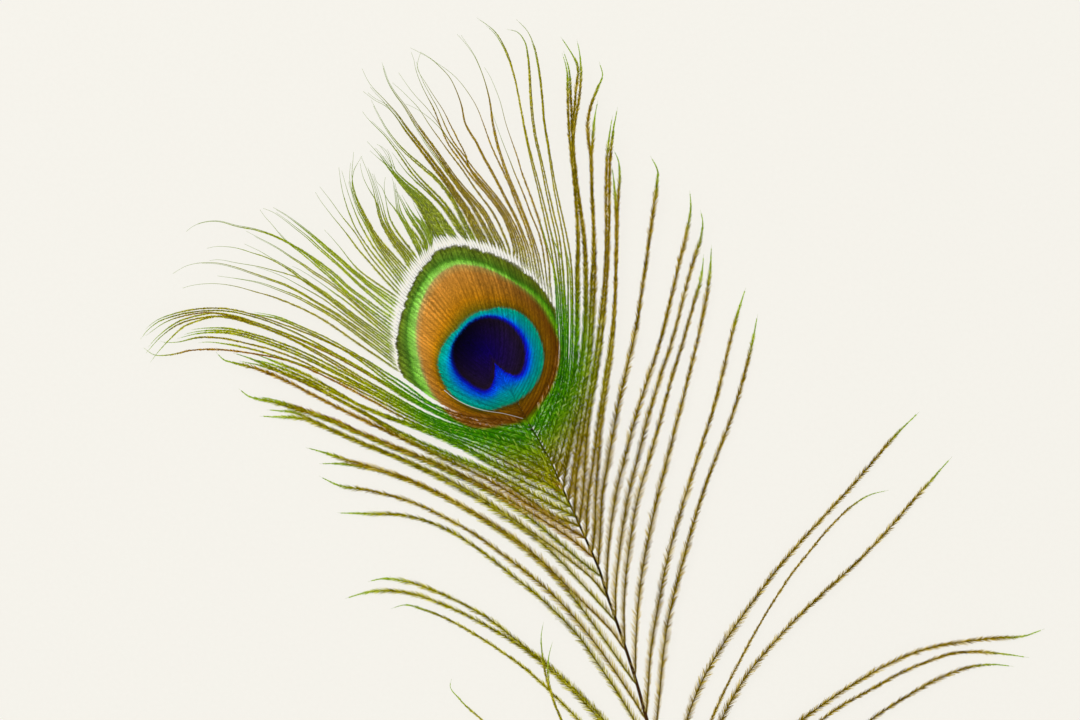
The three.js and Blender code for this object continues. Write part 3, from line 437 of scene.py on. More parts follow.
RIGHT_STRANDS = strands(
    (21, 1, [
        (-12.6, 74.6), (-13.1, 81), (-14.2, 86), (-15.7, 91.2), (-17.7, 97), (-19, 100.4),
        (-20.3, 103.9), (-21.5, 107.8), (-22.8, 111.4), (-24.4, 116), (-26, 121.9), (-27.3, 125.3),
        (-28.9, 128.7), (-31, 131.8), (-33.4, 134.9),
    ]),
    (21, 1, [
        (-13.4, 75.4), (-14.2, 81.4), (-15.1, 85.5), (-16.4, 89.3), (-17.9, 92.7), (-19.2, 96.3),
        (-20.5, 99.6), (-22.1, 103.4), (-23.6, 107.3), (-25.1, 111.1), (-26.6, 115.2), (-27.9, 119),
        (-29.3, 124),
    ]),
    (21, 2, [
        (-14.4, 76.4), (-15.6, 81.9), (-16.9, 85.7), (-18.5, 89.8), (-20, 93.4), (-21.5, 97),
        (-22.8, 100.1), (-24.1, 103.2), (-25.4, 107), (-26.7, 111.4), (-27.8, 116.5),
        (-28.6, 122.2), (-29.7, 126.6), (-31, 130.3), (-32.5, 133.7), (-35.1, 137.6), (-37.2, 141),
        (-38.6, 143.6),
    ], [
        [(-32.5, 133.5), (-35.1, 137.1), (-37.2, 139.4), (-39.1, 142.2)],
    ]),
    (20, 1, [
        (-15.6, 77.4), (-17.2, 84.2), (-18.7, 88.3), (-20.3, 92.2), (-21.8, 95.7), (-23.3, 99.6),
        (-24.9, 103.2), (-26.4, 106.3), (-27.7, 109.1), (-29, 112.4), (-30.3, 116), (-32, 120.3),
        (-34.6, 124.5), (-37.2, 127.7), (-39.9, 130), (-42.5, 131.8), (-44.5, 132.9),
    ]),
    (20, 2, [
        (-16.8, 78.4), (-18, 83.5), (-19.6, 87.2), (-21.3, 90.7), (-23, 94), (-24.6, 97),
        (-26.3, 100.3), (-27.9, 103.4), (-30, 107.3), (-32.1, 111.6), (-34.9, 116.4),
        (-35.9, 120.9), (-37.2, 124.5), (-39.1, 128.2), (-41.2, 130.5), (-43.8, 132.8),
        (-46.4, 134.3), (-49, 135.6), (-51, 136.4),
    ]),
    (19, 5, [
        (-18.6, 79.8), (-19.8, 84.6), (-21.4, 87.9), (-23.5, 91.3), (-25.8, 94.6), (-28.2, 97.8),
        (-30.8, 100.9), (-33.3, 103.9), (-35.9, 107.5), (-38.5, 110.9), (-39.8, 113.4),
        (-41.2, 116.9), (-42.5, 120.1), (-44.6, 124), (-45.9, 126.6), (-47.2, 130), (-48, 133.4),
        (-49, 136), (-48.5, 138.8),
    ], [
        [(-38.5, 110.9), (-42.5, 115.9), (-45.1, 118.2), (-48.2, 120.1), (-52.4, 121.5),
         (-55, 121.8), (-57.4, 121.5), (-58.9, 120.9)],
        [(-38.5, 111.1), (-42.5, 117.3), (-45.1, 120.7), (-47.2, 122.9), (-49.8, 126.1),
         (-51.9, 129), (-54, 131.6), (-55.5, 133.9), (-55.8, 135.6)],
        [(-33.3, 104.4), (-34.6, 108.6), (-36.6, 112.5), (-38.5, 116.2), (-40.4, 119.8),
         (-42.5, 122.9), (-45.1, 126.9), (-47.1, 130.4), (-46.2, 134.3), (-45.6, 136.1)],
    ]),
    (18, 1, [
        (-20.6, 80.8), (-22.3, 85.2), (-24.4, 88.6), (-26.9, 92.2), (-29.5, 95.6), (-32.1, 99.1),
        (-35.9, 104.7), (-38.5, 108.1), (-41, 111.6), (-44.1, 116), (-47.2, 120.6), (-49, 122.4),
        (-51.6, 124.8), (-54.2, 126.9),
    ]),
    (18, 3, [
        (-22.6, 81.8), (-24.6, 86), (-26.9, 89.1), (-29.5, 92.7), (-32.1, 95.7), (-34.6, 98.6),
        (-37.2, 101.7), (-39.7, 105.2), (-42.3, 108.8), (-44.9, 112.2), (-47.9, 116.2),
        (-50.8, 120.9), (-52.9, 123.7), (-54.8, 127), (-55.8, 130), (-57, 134.6),
    ]),
    (18, 2, [
        (-24.6, 82.6), (-25.9, 85.4), (-27.4, 87.8), (-29.9, 90.9), (-32.4, 94.1), (-34.8, 97.2),
        (-37.3, 100.5), (-39.7, 103.7), (-42.3, 107.1), (-44.9, 110.7), (-47.2, 114.4),
        (-49.2, 117.7), (-51.9, 121.5),
    ]),
    (17, 4, [
        (-27, 83.6), (-29.5, 87.6), (-32.1, 91), (-34.6, 94.2), (-37.2, 97.5), (-39.7, 101.1),
        (-42.3, 104.5), (-44.9, 107.9), (-47.4, 111.1), (-50.3, 114.8), (-52.9, 118.5),
        (-55, 120.9), (-56.6, 122.7), (-58.4, 124.5), (-60, 126.6), (-61.3, 129.2), (-62.5, 131.8),
    ], [
        [(-55, 120.7), (-58.2, 122.4), (-60.8, 124.4), (-63.2, 125.8)],
    ]),
    (16, 2, [
        (-29.6, 84.4), (-32.1, 88.2), (-34.6, 91.6), (-37.2, 95.3), (-39.7, 98.8), (-42.3, 101.9),
        (-44.9, 104.2), (-47.4, 106.3), (-50, 108.5), (-51.8, 110.2), (-53.6, 112.3),
        (-55.4, 114.8), (-56.9, 117.4), (-58.2, 119.9), (-60.1, 123.8),
    ]),
    (16, 3, [
        (-31.4, 85), (-34.2, 88.6), (-37, 91.7), (-39.7, 94.6), (-42.3, 97.2), (-44.9, 99.8),
        (-47.4, 102.4), (-49.5, 105), (-51.8, 108.2), (-53.6, 110.5), (-55.4, 112.8),
        (-57.4, 114.8), (-59.5, 116.9), (-61, 118.7), (-61.8, 120.5),
    ], [
        [(-39.7, 94.1), (-42.3, 96.4), (-45, 98.9), (-48, 101.6), (-50.5, 104.2), (-53, 107.6),
         (-54.6, 109.6)],
    ]),
    (15, 4, [
        (-33.4, 85.4), (-37.4, 89), (-40.8, 92.4), (-43.9, 95.3), (-47.2, 98.4), (-50.5, 101.2),
        (-53.2, 104), (-54.8, 106.7), (-56.4, 109.4), (-58.6, 111.6),
    ], [
        [(-53.2, 104.2), (-54, 107), (-55, 109.3), (-56.9, 110.7), (-59.2, 111.6)],
    ]),
    (15, 3, [
        (-36.4, 85.8), (-39.6, 89.2), (-42.8, 92.8), (-46, 96), (-49.3, 99), (-52.3, 102.2),
        (-54.8, 105.4), (-56.8, 108.6), (-59.6, 111.6),
    ], [
        [(-54.8, 105.2), (-57, 106.9), (-59.5, 107.6), (-61.3, 107.4)],
    ]),
    (15, 3, [
        (-39.4, 85.6), (-41.6, 88.9), (-43.8, 92.2), (-46.7, 95.8), (-49.6, 98.7), (-52.3, 101.9),
        (-54.7, 105), (-57, 108.3), (-60.5, 112.2),
    ], [
        [(-54.7, 104.8), (-56.4, 106.4), (-58.2, 107.9), (-60.5, 109.9)],
    ]),
)
CROWN_LIFTS = (3, 4, 4, 5, 5, 6, 6, 6, 7, 7, 7, 7, 5, 5, 7, 8, 8, 8, 8, 7, 8)
CROWN_ARCH = 2.1
CROWN_WARMTH = (0.5, 0.3, 0.3, 0.2, 0.3, 0, 0, 0.3, 0.3, 0.2, 0.3, 0.3, 0.1, 0, 0, 0.2, 0.7, 0.7,
                0.8, 0.8, 0.8)
CROWN_FULLNESS = (1, 1, 1, 1, 1, 1, 1, 1, 1, 1, 1, 1.1, 1.3, 1.6, 1.6, 1.5, 1.4, 1.3, 1.2, 1, 0.9)
SPLIT_STRAND = [(-20, 39.9), (-25, 41.2), (-30, 42), (-34, 43.2), (-38, 45.3), (-40.5, 47.3)]
SPLIT_HEIGHT = 1.15

# The rings of the eye, as points on their outer edges round its middle.
EYE_MIDDLE = (-29, 57)
HEART_EDGE = [
    (-29, 66.6), (-24, 65.3), (-21, 62.5), (-19.2, 59), (-18.9, 55.5), (-19.5, 52.5), (-20.5, 51),
    (-21.8, 50.7), (-24, 51.5), (-26, 53), (-27.3, 54), (-27.2, 52.5), (-27.3, 50.5),
    (-27.8, 48.5), (-28.8, 47), (-30, 46.6), (-32, 47.3), (-34.5, 49), (-37, 51.3), (-38.3, 54),
    (-38.6, 57), (-37.8, 60), (-36, 62.5), (-33.5, 65), (-31, 66.3),
]
BLUE_EDGE = [
    (-29, 66.9), (-24, 65.8), (-20.4, 62.9), (-18.4, 59), (-17.9, 55.5), (-18.6, 51.8), (-21, 49.6),
    (-24, 48.6), (-26.2, 47.4), (-27.6, 45.8), (-30, 45.2), (-33.6, 46), (-36.6, 48), (-39, 51),
    (-39.8, 54), (-39.4, 57), (-38.2, 60.2), (-36.2, 62.8), (-33.6, 65.3), (-31, 66.6),
]
TURQUOISE_EDGE = [
    (-29, 68), (-26.5, 68.7), (-23.5, 68.5), (-20, 67), (-17, 63.8), (-15.3, 60), (-14.5, 56),
    (-15, 52.5), (-16.5, 49), (-18.5, 46.5), (-20.5, 45), (-22.5, 43.7), (-25, 43), (-28, 42),
    (-31, 42.1), (-34, 43), (-37, 44.7), (-39.5, 47.3), (-41.3, 50.5), (-42.2, 54), (-41.8, 56.5),
    (-40, 60), (-37, 63), (-34.5, 65.7), (-31.5, 67.5),
]
BRONZE_EDGE = [
    (-43.5, 75), (-46, 70), (-47.2, 65), (-47.3, 60), (-46.5, 55), (-45, 50), (-44, 47.5),
    (-42.3, 45), (-38, 40), (-33, 37.6), (-29, 37.5), (-25, 38.3), (-22, 38.8), (-19.5, 39.5),
    (-17.5, 41.5), (-15.5, 43.8), (-13.5, 46.5), (-12.3, 49), (-11.2, 52), (-10.5, 56),
    (-10.6, 59.5), (-11.5, 62), (-13, 65), (-15, 68.5), (-17.7, 71.5), (-20.5, 73.8), (-25, 76.5),
    (-30, 78.8), (-35.4, 79.7), (-37.5, 79.6), (-40.5, 78),
]
GREEN_EDGE = [
    (-46, 75), (-48.5, 70), (-49.8, 65), (-50, 60), (-49, 55), (-48, 50), (-46, 47.5), (-44.5, 44),
    (-39, 38.4), (-33, 36), (-28.5, 35.8), (-24, 36.4), (-20, 36.8), (-16.5, 39), (-13.5, 42.5),
    (-11.5, 46), (-10, 50), (-9.2, 55), (-9.4, 60), (-11, 64), (-13, 68), (-17, 72.5),
    (-22, 75.5), (-27, 78.6), (-32, 80.4), (-36.8, 81.1), (-40.6, 80.2), (-43.4, 78.4),
]
DARK_EDGE = [
    (-53, 57), (-52.7, 62), (-52, 65), (-51, 69), (-50, 72), (-49, 74.5), (-47, 78), (-45.2, 80.2),
    (-44, 82), (-42.5, 83.7), (-40, 84.5), (-37.5, 85), (-35, 84.8), (-32, 84), (-29, 83.2),
    (-26.5, 82.3), (-22, 80), (-18, 77), (-15, 74), (-12.7, 70), (-10.8, 67), (-8.4, 61),
    (-8, 55), (-9, 49), (-10.6, 45), (-12.8, 41), (-16, 37.6), (-20, 35), (-28, 33.6), (-34, 34),
    (-41, 37), (-46.5, 42.5), (-50, 47), (-52, 52),
]
EYE_RINGS = [HEART_EDGE, BLUE_EDGE, TURQUOISE_EDGE, BRONZE_EDGE, GREEN_EDGE, DARK_EDGE]
RING_COUNT = len(EYE_RINGS) + 1

# ---------------------------------------------------------------------------------------------
# Curves and noise.
# ---------------------------------------------------------------------------------------------

STEP = 0.2           # distance between two points of a path
FEWEST_POINTS = 4    # of a path, however short


def along(curve):
    """Distance from the curve's start to each of its points."""
    lengths = np.linalg.norm(np.diff(curve, axis=0), axis=1)
    return np.concatenate([[0], np.cumsum(lengths)])


def read_at(places, at, table):
    """The rows of a table that are known at some distances, read at other places."""
    return np.stack([np.interp(places, at, column) for column in table.T], axis=1)


def spread(curve, count):
    """The same curve as so many points, the same distance apart."""
    at = along(curve)
    return read_at(np.linspace(0, at[-1], count), at, curve)


def smooth_way(points):
    """A smooth curve through the points, as closely and evenly spaced points."""
    knots = np.array(points, float)
    at = along(knots)
    slopes = np.gradient(knots, at, axis=0)
    fine = np.linspace(0, at[-1], 2 * max(FEWEST_POINTS, int(at[-1] / STEP)))
    left = np.clip(np.searchsorted(at, fine, side="right") - 1, 0, len(knots) - 2)
    width = (at[left + 1] - at[left])[:, None]
    f = (fine[:, None] - at[left][:, None]) / width
    curve = ((2 * f**3 - 3 * f**2 + 1) * knots[left] + (f**3 - 2 * f**2 + f) * width * slopes[left]
             + (3 * f**2 - 2 * f**3) * knots[left + 1] + (f**3 - f**2) * width * slopes[left + 1])
    return spread(curve, max(FEWEST_POINTS, int(along(curve)[-1] / STEP)))


def directions(curve):
    """Unit tangents, and the unit normals to their left in plan."""
    tangents = np.gradient(curve, axis=0)
    tangents /= np.linalg.norm(tangents, axis=1)[:, None]
    normals = np.stack([-tangents[:, 1], tangents[:, 0]], axis=1)
    normals /= np.linalg.norm(normals, axis=1)[:, None]
    return tangents, normals


def smooth_step(value, low, high):
    """0 below low and 1 above high, with a smooth change between them."""
    f = np.clip((value - low) / (high - low), 0, 1)
    return f * f * (3 - 2 * f)


SPARE_KNOTS = 4      # of the noise beyond the line's end


def wander(rng, places, period, size):
    """Smooth noise along a line: a value of about -size to size for each place."""
    count = int(places[-1] / period) + SPARE_KNOTS
    knots = rng.uniform(-1, 1, count)
    at = places / period + rng.uniform(0, 1)
    left = at.astype(int)
    f = smooth_step(at - left, 0, 1)
    return size * (knots[left] * (1 - f) + knots[left + 1] * f)


# ---------------------------------------------------------------------------------------------
# The eye's rings as one number: 0 in the middle, then 1 at the heart's edge, up to 6 at the rim.
# ---------------------------------------------------------------------------------------------

ANGLES = np.linspace(-math.pi, math.pi, 361)     # one for each degree


def around_eye(x, y):
    """Angle and distance of points in plan, seen from the eye's middle."""
    across, up = x - EYE_MIDDLE[0], y - EYE_MIDDLE[1]
    return np.arctan2(up, across), np.hypot(across, up)


def ring_radius(points):
    """The ring's radius at each of ANGLES."""
    angle, radius = around_eye(*np.array(points, float).T)
    order = np.argsort(angle)
    return np.interp(ANGLES, angle[order], radius[order], period=2 * math.pi)


RING_RADII = [ring_radius(points) for points in EYE_RINGS]
BARE_BAND = 2.0           # distance from the rim to where the ring number reaches 7
NARROWEST_RING = 0.05
# the side of the eye that its painted light comes from; the far side gets painted shade
LIT_SIDE = math.radians(155)
LIT_FOCUS = 1.9           # above 1, less of the eye counts as lit


def eye_place(x, y):
    """Ring number, and how far towards the upper left of the eye, 0 to 1, at points in plan.
    The latter sets the mix of painted light and painted shade in the eye's colours.
    """
    angle, radius = around_eye(x, y)
    edges = [np.zeros_like(radius)] + [np.interp(angle, ANGLES, ring) for ring in RING_RADII]
    edges.append(edges[-1] + BARE_BAND)
    ring = np.zeros_like(radius)
    for inner, outer in zip(edges[:-1], edges[1:]):
        ring += np.clip((radius - inner) / np.maximum(outer - inner, NARROWEST_RING), 0, 1)
    lit = (0.5 + 0.5 * np.cos(angle - LIT_SIDE)) ** LIT_FOCUS
    return ring, lit


# ---------------------------------------------------------------------------------------------
# Meshes.
# ---------------------------------------------------------------------------------------------

# What a material reads at each vertex. In the eye: the share of the ring numbers, and how far
# towards the lit side, which sets its painted light and shade. fleck is light against dark. On
# loose barbs: how green, bronze or brown, how pale at a barbule's end, how dark next to the stem
# (the stem's own dark, and on the barbules' roots partly painted shade of the stem), and how
# near the bright tip. On the shaft, tip runs from its cut to its end.
VALUES = ("ring", "lit", "fleck", "green", "bronze", "warm", "pale", "core", "tip")
FLOOR_CLEARANCE = 0.03       # no vertex is lower than this


class Skin:
    """The quads of one piece, with values that its material reads at each vertex."""

    def __init__(self, barbs):
        self.barbs = barbs          # rows in the baking map, one for each barb
        self.count = 0
        self.places = []
        self.quads = []
        self.maps = []
        self.values = {name: [] for name in VALUES}

    def add(self, grid, u, v, **values):
        """Grids of vertices, (how many, rows, columns, 3), joined into quads. u and v are their
        places in the baking map."""
        shape = grid.shape[:3]
        index = self.count + np.arange(math.prod(shape)).reshape(shape)
        quads = np.stack([index[:, :-1, :-1], index[:, :-1, 1:], index[:, 1:, 1:],
                          index[:, 1:, :-1]], axis=-1)
        self.quads.append(quads.reshape(-1, 4))
        self.places.append(grid.reshape(-1, 3))
        chart = np.stack([np.broadcast_to(u, shape), np.broadcast_to(v, shape)], axis=-1)
        self.maps.append(chart.reshape(-1, 2))
        for name in VALUES:
            value = np.broadcast_to(values.get(name, 0.0), shape)
            self.values[name].append(value.reshape(-1))
        self.count += index.size

    def finish(self, name, material):
        """The Blender object."""
        places = np.concatenate(self.places) * MM
        places[:, 2] = np.maximum(places[:, 2], FLOOR_CLEARANCE * MM)
        quads = np.concatenate(self.quads)
        mesh = bpy.data.meshes.new(name)
        mesh.vertices.add(len(places))
        mesh.vertices.foreach_set("co", places.astype(np.float32).ravel())
        mesh.loops.add(quads.size)
        mesh.loops.foreach_set("vertex_index", quads.astype(np.int32).ravel())
        mesh.polygons.add(len(quads))
        mesh.polygons.foreach_set("loop_start", np.arange(0, quads.size, 4, dtype=np.int32))
        mesh.polygons.foreach_set("use_smooth", np.ones(len(quads), bool))
        for value_name in VALUES:
            layer = mesh.attributes.new(value_name, "FLOAT", "POINT")
            data = np.concatenate(self.values[value_name]).astype(np.float32)
            layer.data.foreach_set("value", data)
        chart = mesh.uv_layers.new(name="OFBake")
        corners = np.concatenate(self.maps)[quads.ravel()]
        chart.data.foreach_set("uv", corners.astype(np.float32).ravel())
        mesh.materials.append(material)
        mesh.update(calc_edges=True)
        piece = bpy.data.objects.new(name, mesh)
        bpy.context.scene.collection.objects.link(piece)
        return piece


UP = np.array([0.0, 0.0, 1.0])
TUBE_SIDES = 5
TUBE_STEP = 0.8
FEWEST_TUBE_RINGS = 3
BARBULE_SHARES = (0, 0.5, 1)      # places of a barbule's rows of vertices along it
BARBULE_TAPER = (1, 0.85, 0.25)   # its width there, as a share of the widest
ROW_HALF = 0.48                   # half of what a barb takes up of its row in the baking map
RAMUS_ROW_SHARE = 0.1             # of which the stem takes this, the barbules the rest
BARBULE_MAP_HALF = 0.45           # half of a barbule's width in the map, in barbule spacings


def at_distance(path, name, distance):
    """Values of one of the path's tables at distances along it."""
    return read_at(distance, path["at"], path[name])


def make_path(plan, height):
    """A barb's path: points in space, their distances, tangents and left normals."""
    curve = np.column_stack([plan, height])
    tangents, normals = directions(curve)
    normals = np.column_stack([normals, np.zeros(len(normals))])
    return {"curve": curve, "at": along(curve), "tangents": tangents, "normals": normals}


def chart_row(skin, barb, share):
    """The height in the baking map of a share, -1 to 1, across a barb's row."""
    return (barb + 0.5 + ROW_HALF * share) / skin.barbs


def add_ramus(skin, barb, path, radius, start, end, **values):
    """The barb's own stem: a thin tube from start to end, with a radius for each share of it."""
    distance = np.linspace(start, end, max(FEWEST_TUBE_RINGS, int((end - start) / TUBE_STEP)))
    share = (distance - start) / (end - start)
    centre = at_distance(path, "curve", distance)
    across = at_distance(path, "normals", distance)
    turn = np.linspace(-0.5, 1.5, TUBE_SIDES + 1) * math.pi
    size = radius(share)[:, None, None]
    grid = (centre[:, None] + size * (np.cos(turn)[None, :, None] * across[:, None]
                                      + np.sin(turn)[None, :, None] * UP))
    u = (distance / path["at"][-1])[:, None]
    v = chart_row(skin, barb, np.linspace(-1, 1, TUBE_SIDES + 1) * RAMUS_ROW_SHARE)
    shaped = {name: (value(share)[:, None] if callable(value) else value)
              for name, value in values.items()}
    skin.add(grid[None], u, v, **shaped)


def barbule_frames(path, distance, side, angle, lift):
    """Roots and directions of barbules that leave the path at an angle towards its tip."""
    root = at_distance(path, "curve", distance)
    tangent = at_distance(path, "tangents", distance)
    normal = at_distance(path, "normals", distance) * side
    flat = np.cos(angle)[:, None] * tangent + np.sin(angle)[:, None] * normal
    heading = np.cos(lift)[:, None] * flat + np.sin(lift)[:, None] * UP
    return root, heading


def add_barbules(skin, barb, path, distance, side, shape, values):
    """Flat, pointed blades along one side of a barb.

    shape has the arrays length, width, angle, lift and roll, one number for each distance, and
    curl, which bends a blade's end towards the barb's tip.
    """
    root, heading = barbule_frames(path, distance, side, shape["angle"], shape["lift"])
    tangent = at_distance(path, "tangents", distance)
    edge = np.cross(UP, heading)
    edge /= np.linalg.norm(edge, axis=1)[:, None]
    edge = np.cos(shape["roll"])[:, None] * edge + np.sin(shape["roll"])[:, None] * UP
    rows = []
    for share, taper in zip(BARBULE_SHARES, BARBULE_TAPER):
        reach = shape["length"][:, None] * share
        middle = root + heading * reach + tangent * reach * share * shape["curl"]
        half = 0.5 * shape["width"][:, None] * taper * edge
        rows.append(np.stack([middle - half, middle + half], axis=1))
    grid = np.stack(rows, axis=1)
    half = np.gradient(distance) * BARBULE_MAP_HALF
    u = (per_blade(distance) + per_blade(half) * np.array([-1, 1])) / path["at"][-1]
    across = RAMUS_ROW_SHARE + (1 - RAMUS_ROW_SHARE) * np.array(BARBULE_SHARES)
    v = chart_row(skin, barb, side * across)[None, :, None]
    skin.add(grid, u, v, **values(grid))


def per_blade(numbers):
    """One number for each blade, as a value for the six vertices of each."""
    return np.asarray(numbers)[:, None, None]


# ---------------------------------------------------------------------------------------------
# Loose barbs.
# ---------------------------------------------------------------------------------------------

BARBULE_SPACING = 0.22
GREEN_REACH = 8.0             # distance from the eye over which the barbs turn from green
GREEN_RING = 4                # place in RING_RADII of the ring that it is measured from
BRONZE_RING = 4.1             # ring number under which a barb beside the eye is bronze
BRONZE_BLEND = (0.2, 0.15)    # how far below and above it the bronze fades
NEAR_SHAFT = (14, 40)         # distances from the shaft between which a barb's stem gets lighter
ROOT_HEIGHT = 0.45            # of a barb's stem over the paper where it leaves the shaft
END_DROP = 0.15               # how much lower its end lies, if it isn't lifted

# How the barbs of one lock lie.
SHORTER = 0.06                # the most that a lock's later barbs are cut short by, as a share
PAIRED = 4                    # barbs in a lock that lies in two pairs
PAIR_SPLIT = 1.4              # how much further apart the pairs lie, in gaps
PAIR_SPLIT_REACH = (15, 40)   # distances between which the pairs part
PARTING = 8                   # distance over which the barbs part
GATHERING = 0.72              # how much closer barbs lie again on ways with ends of their own
GATHERING_SHARES = (0.45, 0.7)
ROOT_BLEND = 30.0             # distance over which a barb joins the way of its lock
STEADY = 10                   # distance over which wander sets in
SIDE_WANDER = (18, 0.15)      # period and size
HEIGHT_WANDER = (12, 0.12)
STAGGER = 0.12                # how much higher each barb lies than the one before it
shaft_curve = smooth_way(SHAFT_WAY)


def shaft_half_width(share):
    """Half of the shaft's width at shares of its length."""
    places, widths = zip(*SHAFT_WIDTHS)
    return np.interp(share, places, widths) / 2


def greenness(x, y):
    """How green a loose barb is at a place: 1 beside the eye, 0 away from it."""
    angle, radius = around_eye(x, y)
    beyond = np.maximum(radius - np.interp(angle, ANGLES, RING_RADII[GREEN_RING]), 0)
    return np.exp(-(beyond / GREEN_REACH) ** 2)


def bronzeness(x, y):
    """1 where a loose barb runs through the eye's bronze ring, 0 elsewhere."""
    below, above = BRONZE_BLEND
    return 1 - smooth_step(eye_place(x, y)[0], BRONZE_RING - below, BRONZE_RING + above)


def arched_height(arch, lift, share):
    """Height over the paper of a barb that rises from the shaft, arches and ends lifted."""
    level = ROOT_HEIGHT - END_DROP * share
    return level + arch * np.sin(math.pi * share) + lift * share**3


def root_on_shaft(point, shift):
    """The point of the shaft nearest to a barb's root, moved up the shaft by shift."""
    nearest = np.argmin(np.hypot(*(shaft_curve - point).T))
    moved = int(np.clip(nearest + shift / STEP, 0, len(shaft_curve) - 1))
    return shaft_curve[moved]


def lock_barb(lock, number, tip_side, rng):
    """The path of one barb of a lock that starts at the shaft."""
    count = lock["barbs"]
    way = smooth_way(lock["ways"][number % len(lock["ways"])])
    at = along(way)
    cut = at <= at[-1] * (1 - SHORTER * rng.uniform(0, 1) * (number > 0))
    way, at = way[cut], at[cut]
    share = at / at[-1]
    place = number - (count - 1) / 2
    if count == PAIRED:
        place = place + PAIR_SPLIT * np.sign(place) * smooth_step(at, *PAIR_SPLIT_REACH)
    apart = smooth_step(at, 0, PARTING)
    if len(lock["ways"]) > 1:
        apart = apart * (1 - GATHERING * smooth_step(share, *GATHERING_SHARES))
    offset = place * lock["gap"] * apart
    offset = offset + wander(rng, at, *SIDE_WANDER) * smooth_step(at, 0, STEADY)
    low, high = lock["roots"]
    root = root_on_shaft(way[0], low + (high - low) * number / max(count - 1, 1))
    pull = (1 - smooth_step(at, 0, ROOT_BLEND))[:, None]
    sideways = directions(way)[1] * tip_side
    plan = way + sideways * offset[:, None] + (root - way[0]) * pull
    height = arched_height(lock["arch"], lock["lift"], share)
    uneven = wander(rng, at, *HEIGHT_WANDER) + STAGGER * place
    height = height + uneven * smooth_step(at, 0, STEADY)
    return make_path(plan, height)


ROOT_JITTER = 0.06            # of a barbule's root along its barb, each way
TUFT_PERIOD = 0.8             # of the noise that makes tufts
SLOW_PERIOD = 9               # of the noise that makes longer and shorter stretches
TUFT_LENGTH = 0.16            # what they do to the barbules' length, as shares of it
SLOW_LENGTH = 0.08
TUFT_TONE = 0.16              # and to their tone
SLOW_TONE = 0.12
TONE_SPREAD = 0.22            # of single barbules
END_SHORTER = 0.8             # how much shorter they are at the fringe's end, as a share
SWELL_START = 5               # distance where their length starts to change to the usual
CLING_SHARES = (0.25, 0.7)    # shares of the barb between which they come to cling to it
CLING_TURN = 8                # degrees by which those that cling lean closer
LEAN_WANDER = (1.2, 6)        # period, and size in degrees
LEAN_SPREAD = 3               # degrees
LENGTH_SPREAD = (0.8, 1.1)
WIDTH_SPREAD = (0.7, 1.2)
SHORTEST = 0.05
LIFT, LIFT_SPREAD = 6, 8      # degrees out of the plane of the feather
ROLL_SPREAD = 0.35
CURL = -0.1
PALE_REACH = (10, 45)         # distances from the root between which the pale ends fade
UPPER_PALE, LOWER_PALE = 1.2, 0.5
BRIGHT, BRIGHT_PALE = 0.78, 0.3      # barbules with a tone over the first have paler ends too
PALE_FADE = 0.7               # below 1, paleness reaches further in from a barbule's end
CORE_FADE = 1.2               # above 1, the dark at its root ends sooner
TIP_REST = 2                  # distance from the barb's end where it is wholly tip-coloured


def fringe_length(distance, share, near, tuft, slow, style):
    """The length of each barbule. near is their length at the root, as a share of the usual."""
    start, stop = style["fringe"]
    rise = smooth_step(distance, start, start + style["rise"])
    fall = 1 - END_SHORTER * smooth_step(share, stop - style["taper"], stop)
    swell = near + (1 - near) * smooth_step(distance, SWELL_START, style["swell"])
    length = style["length"] * rise * fall * swell * (1 + TUFT_LENGTH * tuft + SLOW_LENGTH * slow)
    return length * (1 - style["cling"] * smooth_step(share, *CLING_SHARES))


def fringe_values(distance, total, tone, upper, style):
    """What the material reads on barbules, as a function of their vertices."""
    # the dark at the barbules' roots: their own colour, and partly painted shade of the stem
    core = style["near_core"] + (style["core"] - style["near_core"]) * (
        smooth_step(distance, *NEAR_SHAFT))
    young = 1 - smooth_step(distance, *PALE_REACH)
    edge = style["pale"] * young * (UPPER_PALE if upper else LOWER_PALE)
    edge = edge + BRIGHT_PALE * (tone > BRIGHT)
    tip = smooth_step(distance, total - style["tip"], total - TIP_REST)
    outward = np.array(BARBULE_SHARES)[None, :, None]

    def values(grid):
        x, y = grid[..., 0], grid[..., 1]
        return {
            "fleck": per_blade(tone),
            "green": style["green"] * greenness(x, y),
            "bronze": bronzeness(x, y),
            "warm": style["warm"],
            "pale": np.clip(per_blade(edge) * outward**PALE_FADE, 0, 1),
            "core": per_blade(core) * (1 - outward) ** CORE_FADE,
            "tip": per_blade(tip),
        }
    return values


def loose_barbules(skin, barb, path, style, tip_side, rng):
    """Both fringes of a loose barb."""
    total = path["at"][-1]
    start, stop = style["fringe"]
    distance = np.arange(start, total * stop, BARBULE_SPACING)
    many = len(distance)
    distance = distance + rng.uniform(-ROOT_JITTER, ROOT_JITTER, many)
    share = distance / total
    tuft = wander(rng, distance, TUFT_PERIOD, 1)
    slow = wander(rng, distance, SLOW_PERIOD, 1)
    closer = CLING_TURN * smooth_step(share, *CLING_SHARES)
    for side in (1, -1):
        upper = side == tip_side
        near = style["near_upper"] if upper else style["near_lower"]
        length = fringe_length(distance, share, near, tuft, slow, style)
        lean = style["angle"] - closer + wander(rng, distance, *LEAN_WANDER)
        lean = lean + rng.normal(0, LEAN_SPREAD, many)
        shape = {
            "length": np.maximum(length * rng.uniform(*LENGTH_SPREAD, many), SHORTEST),
            "width": style["width"] * rng.uniform(*WIDTH_SPREAD, many),
            "angle": np.radians(lean),
            "lift": np.radians(LIFT + rng.normal(0, LIFT_SPREAD, many)),
            "roll": rng.normal(0, ROLL_SPREAD, many),
            "curl": CURL,
        }
        tone = style["tone"] + TUFT_TONE * tuft + SLOW_TONE * slow
        tone = np.clip(tone + rng.normal(0, TONE_SPREAD, many), 0, 1)
        values = fringe_values(distance, total, tone, upper, style)
        add_barbules(skin, barb, path, distance, side, shape, values)


STEM_TONE = 0.25
STEM_FADE, STEM_FADE_FROM = 0.9, 0.8      # a dark stem fades by this from this share of it on


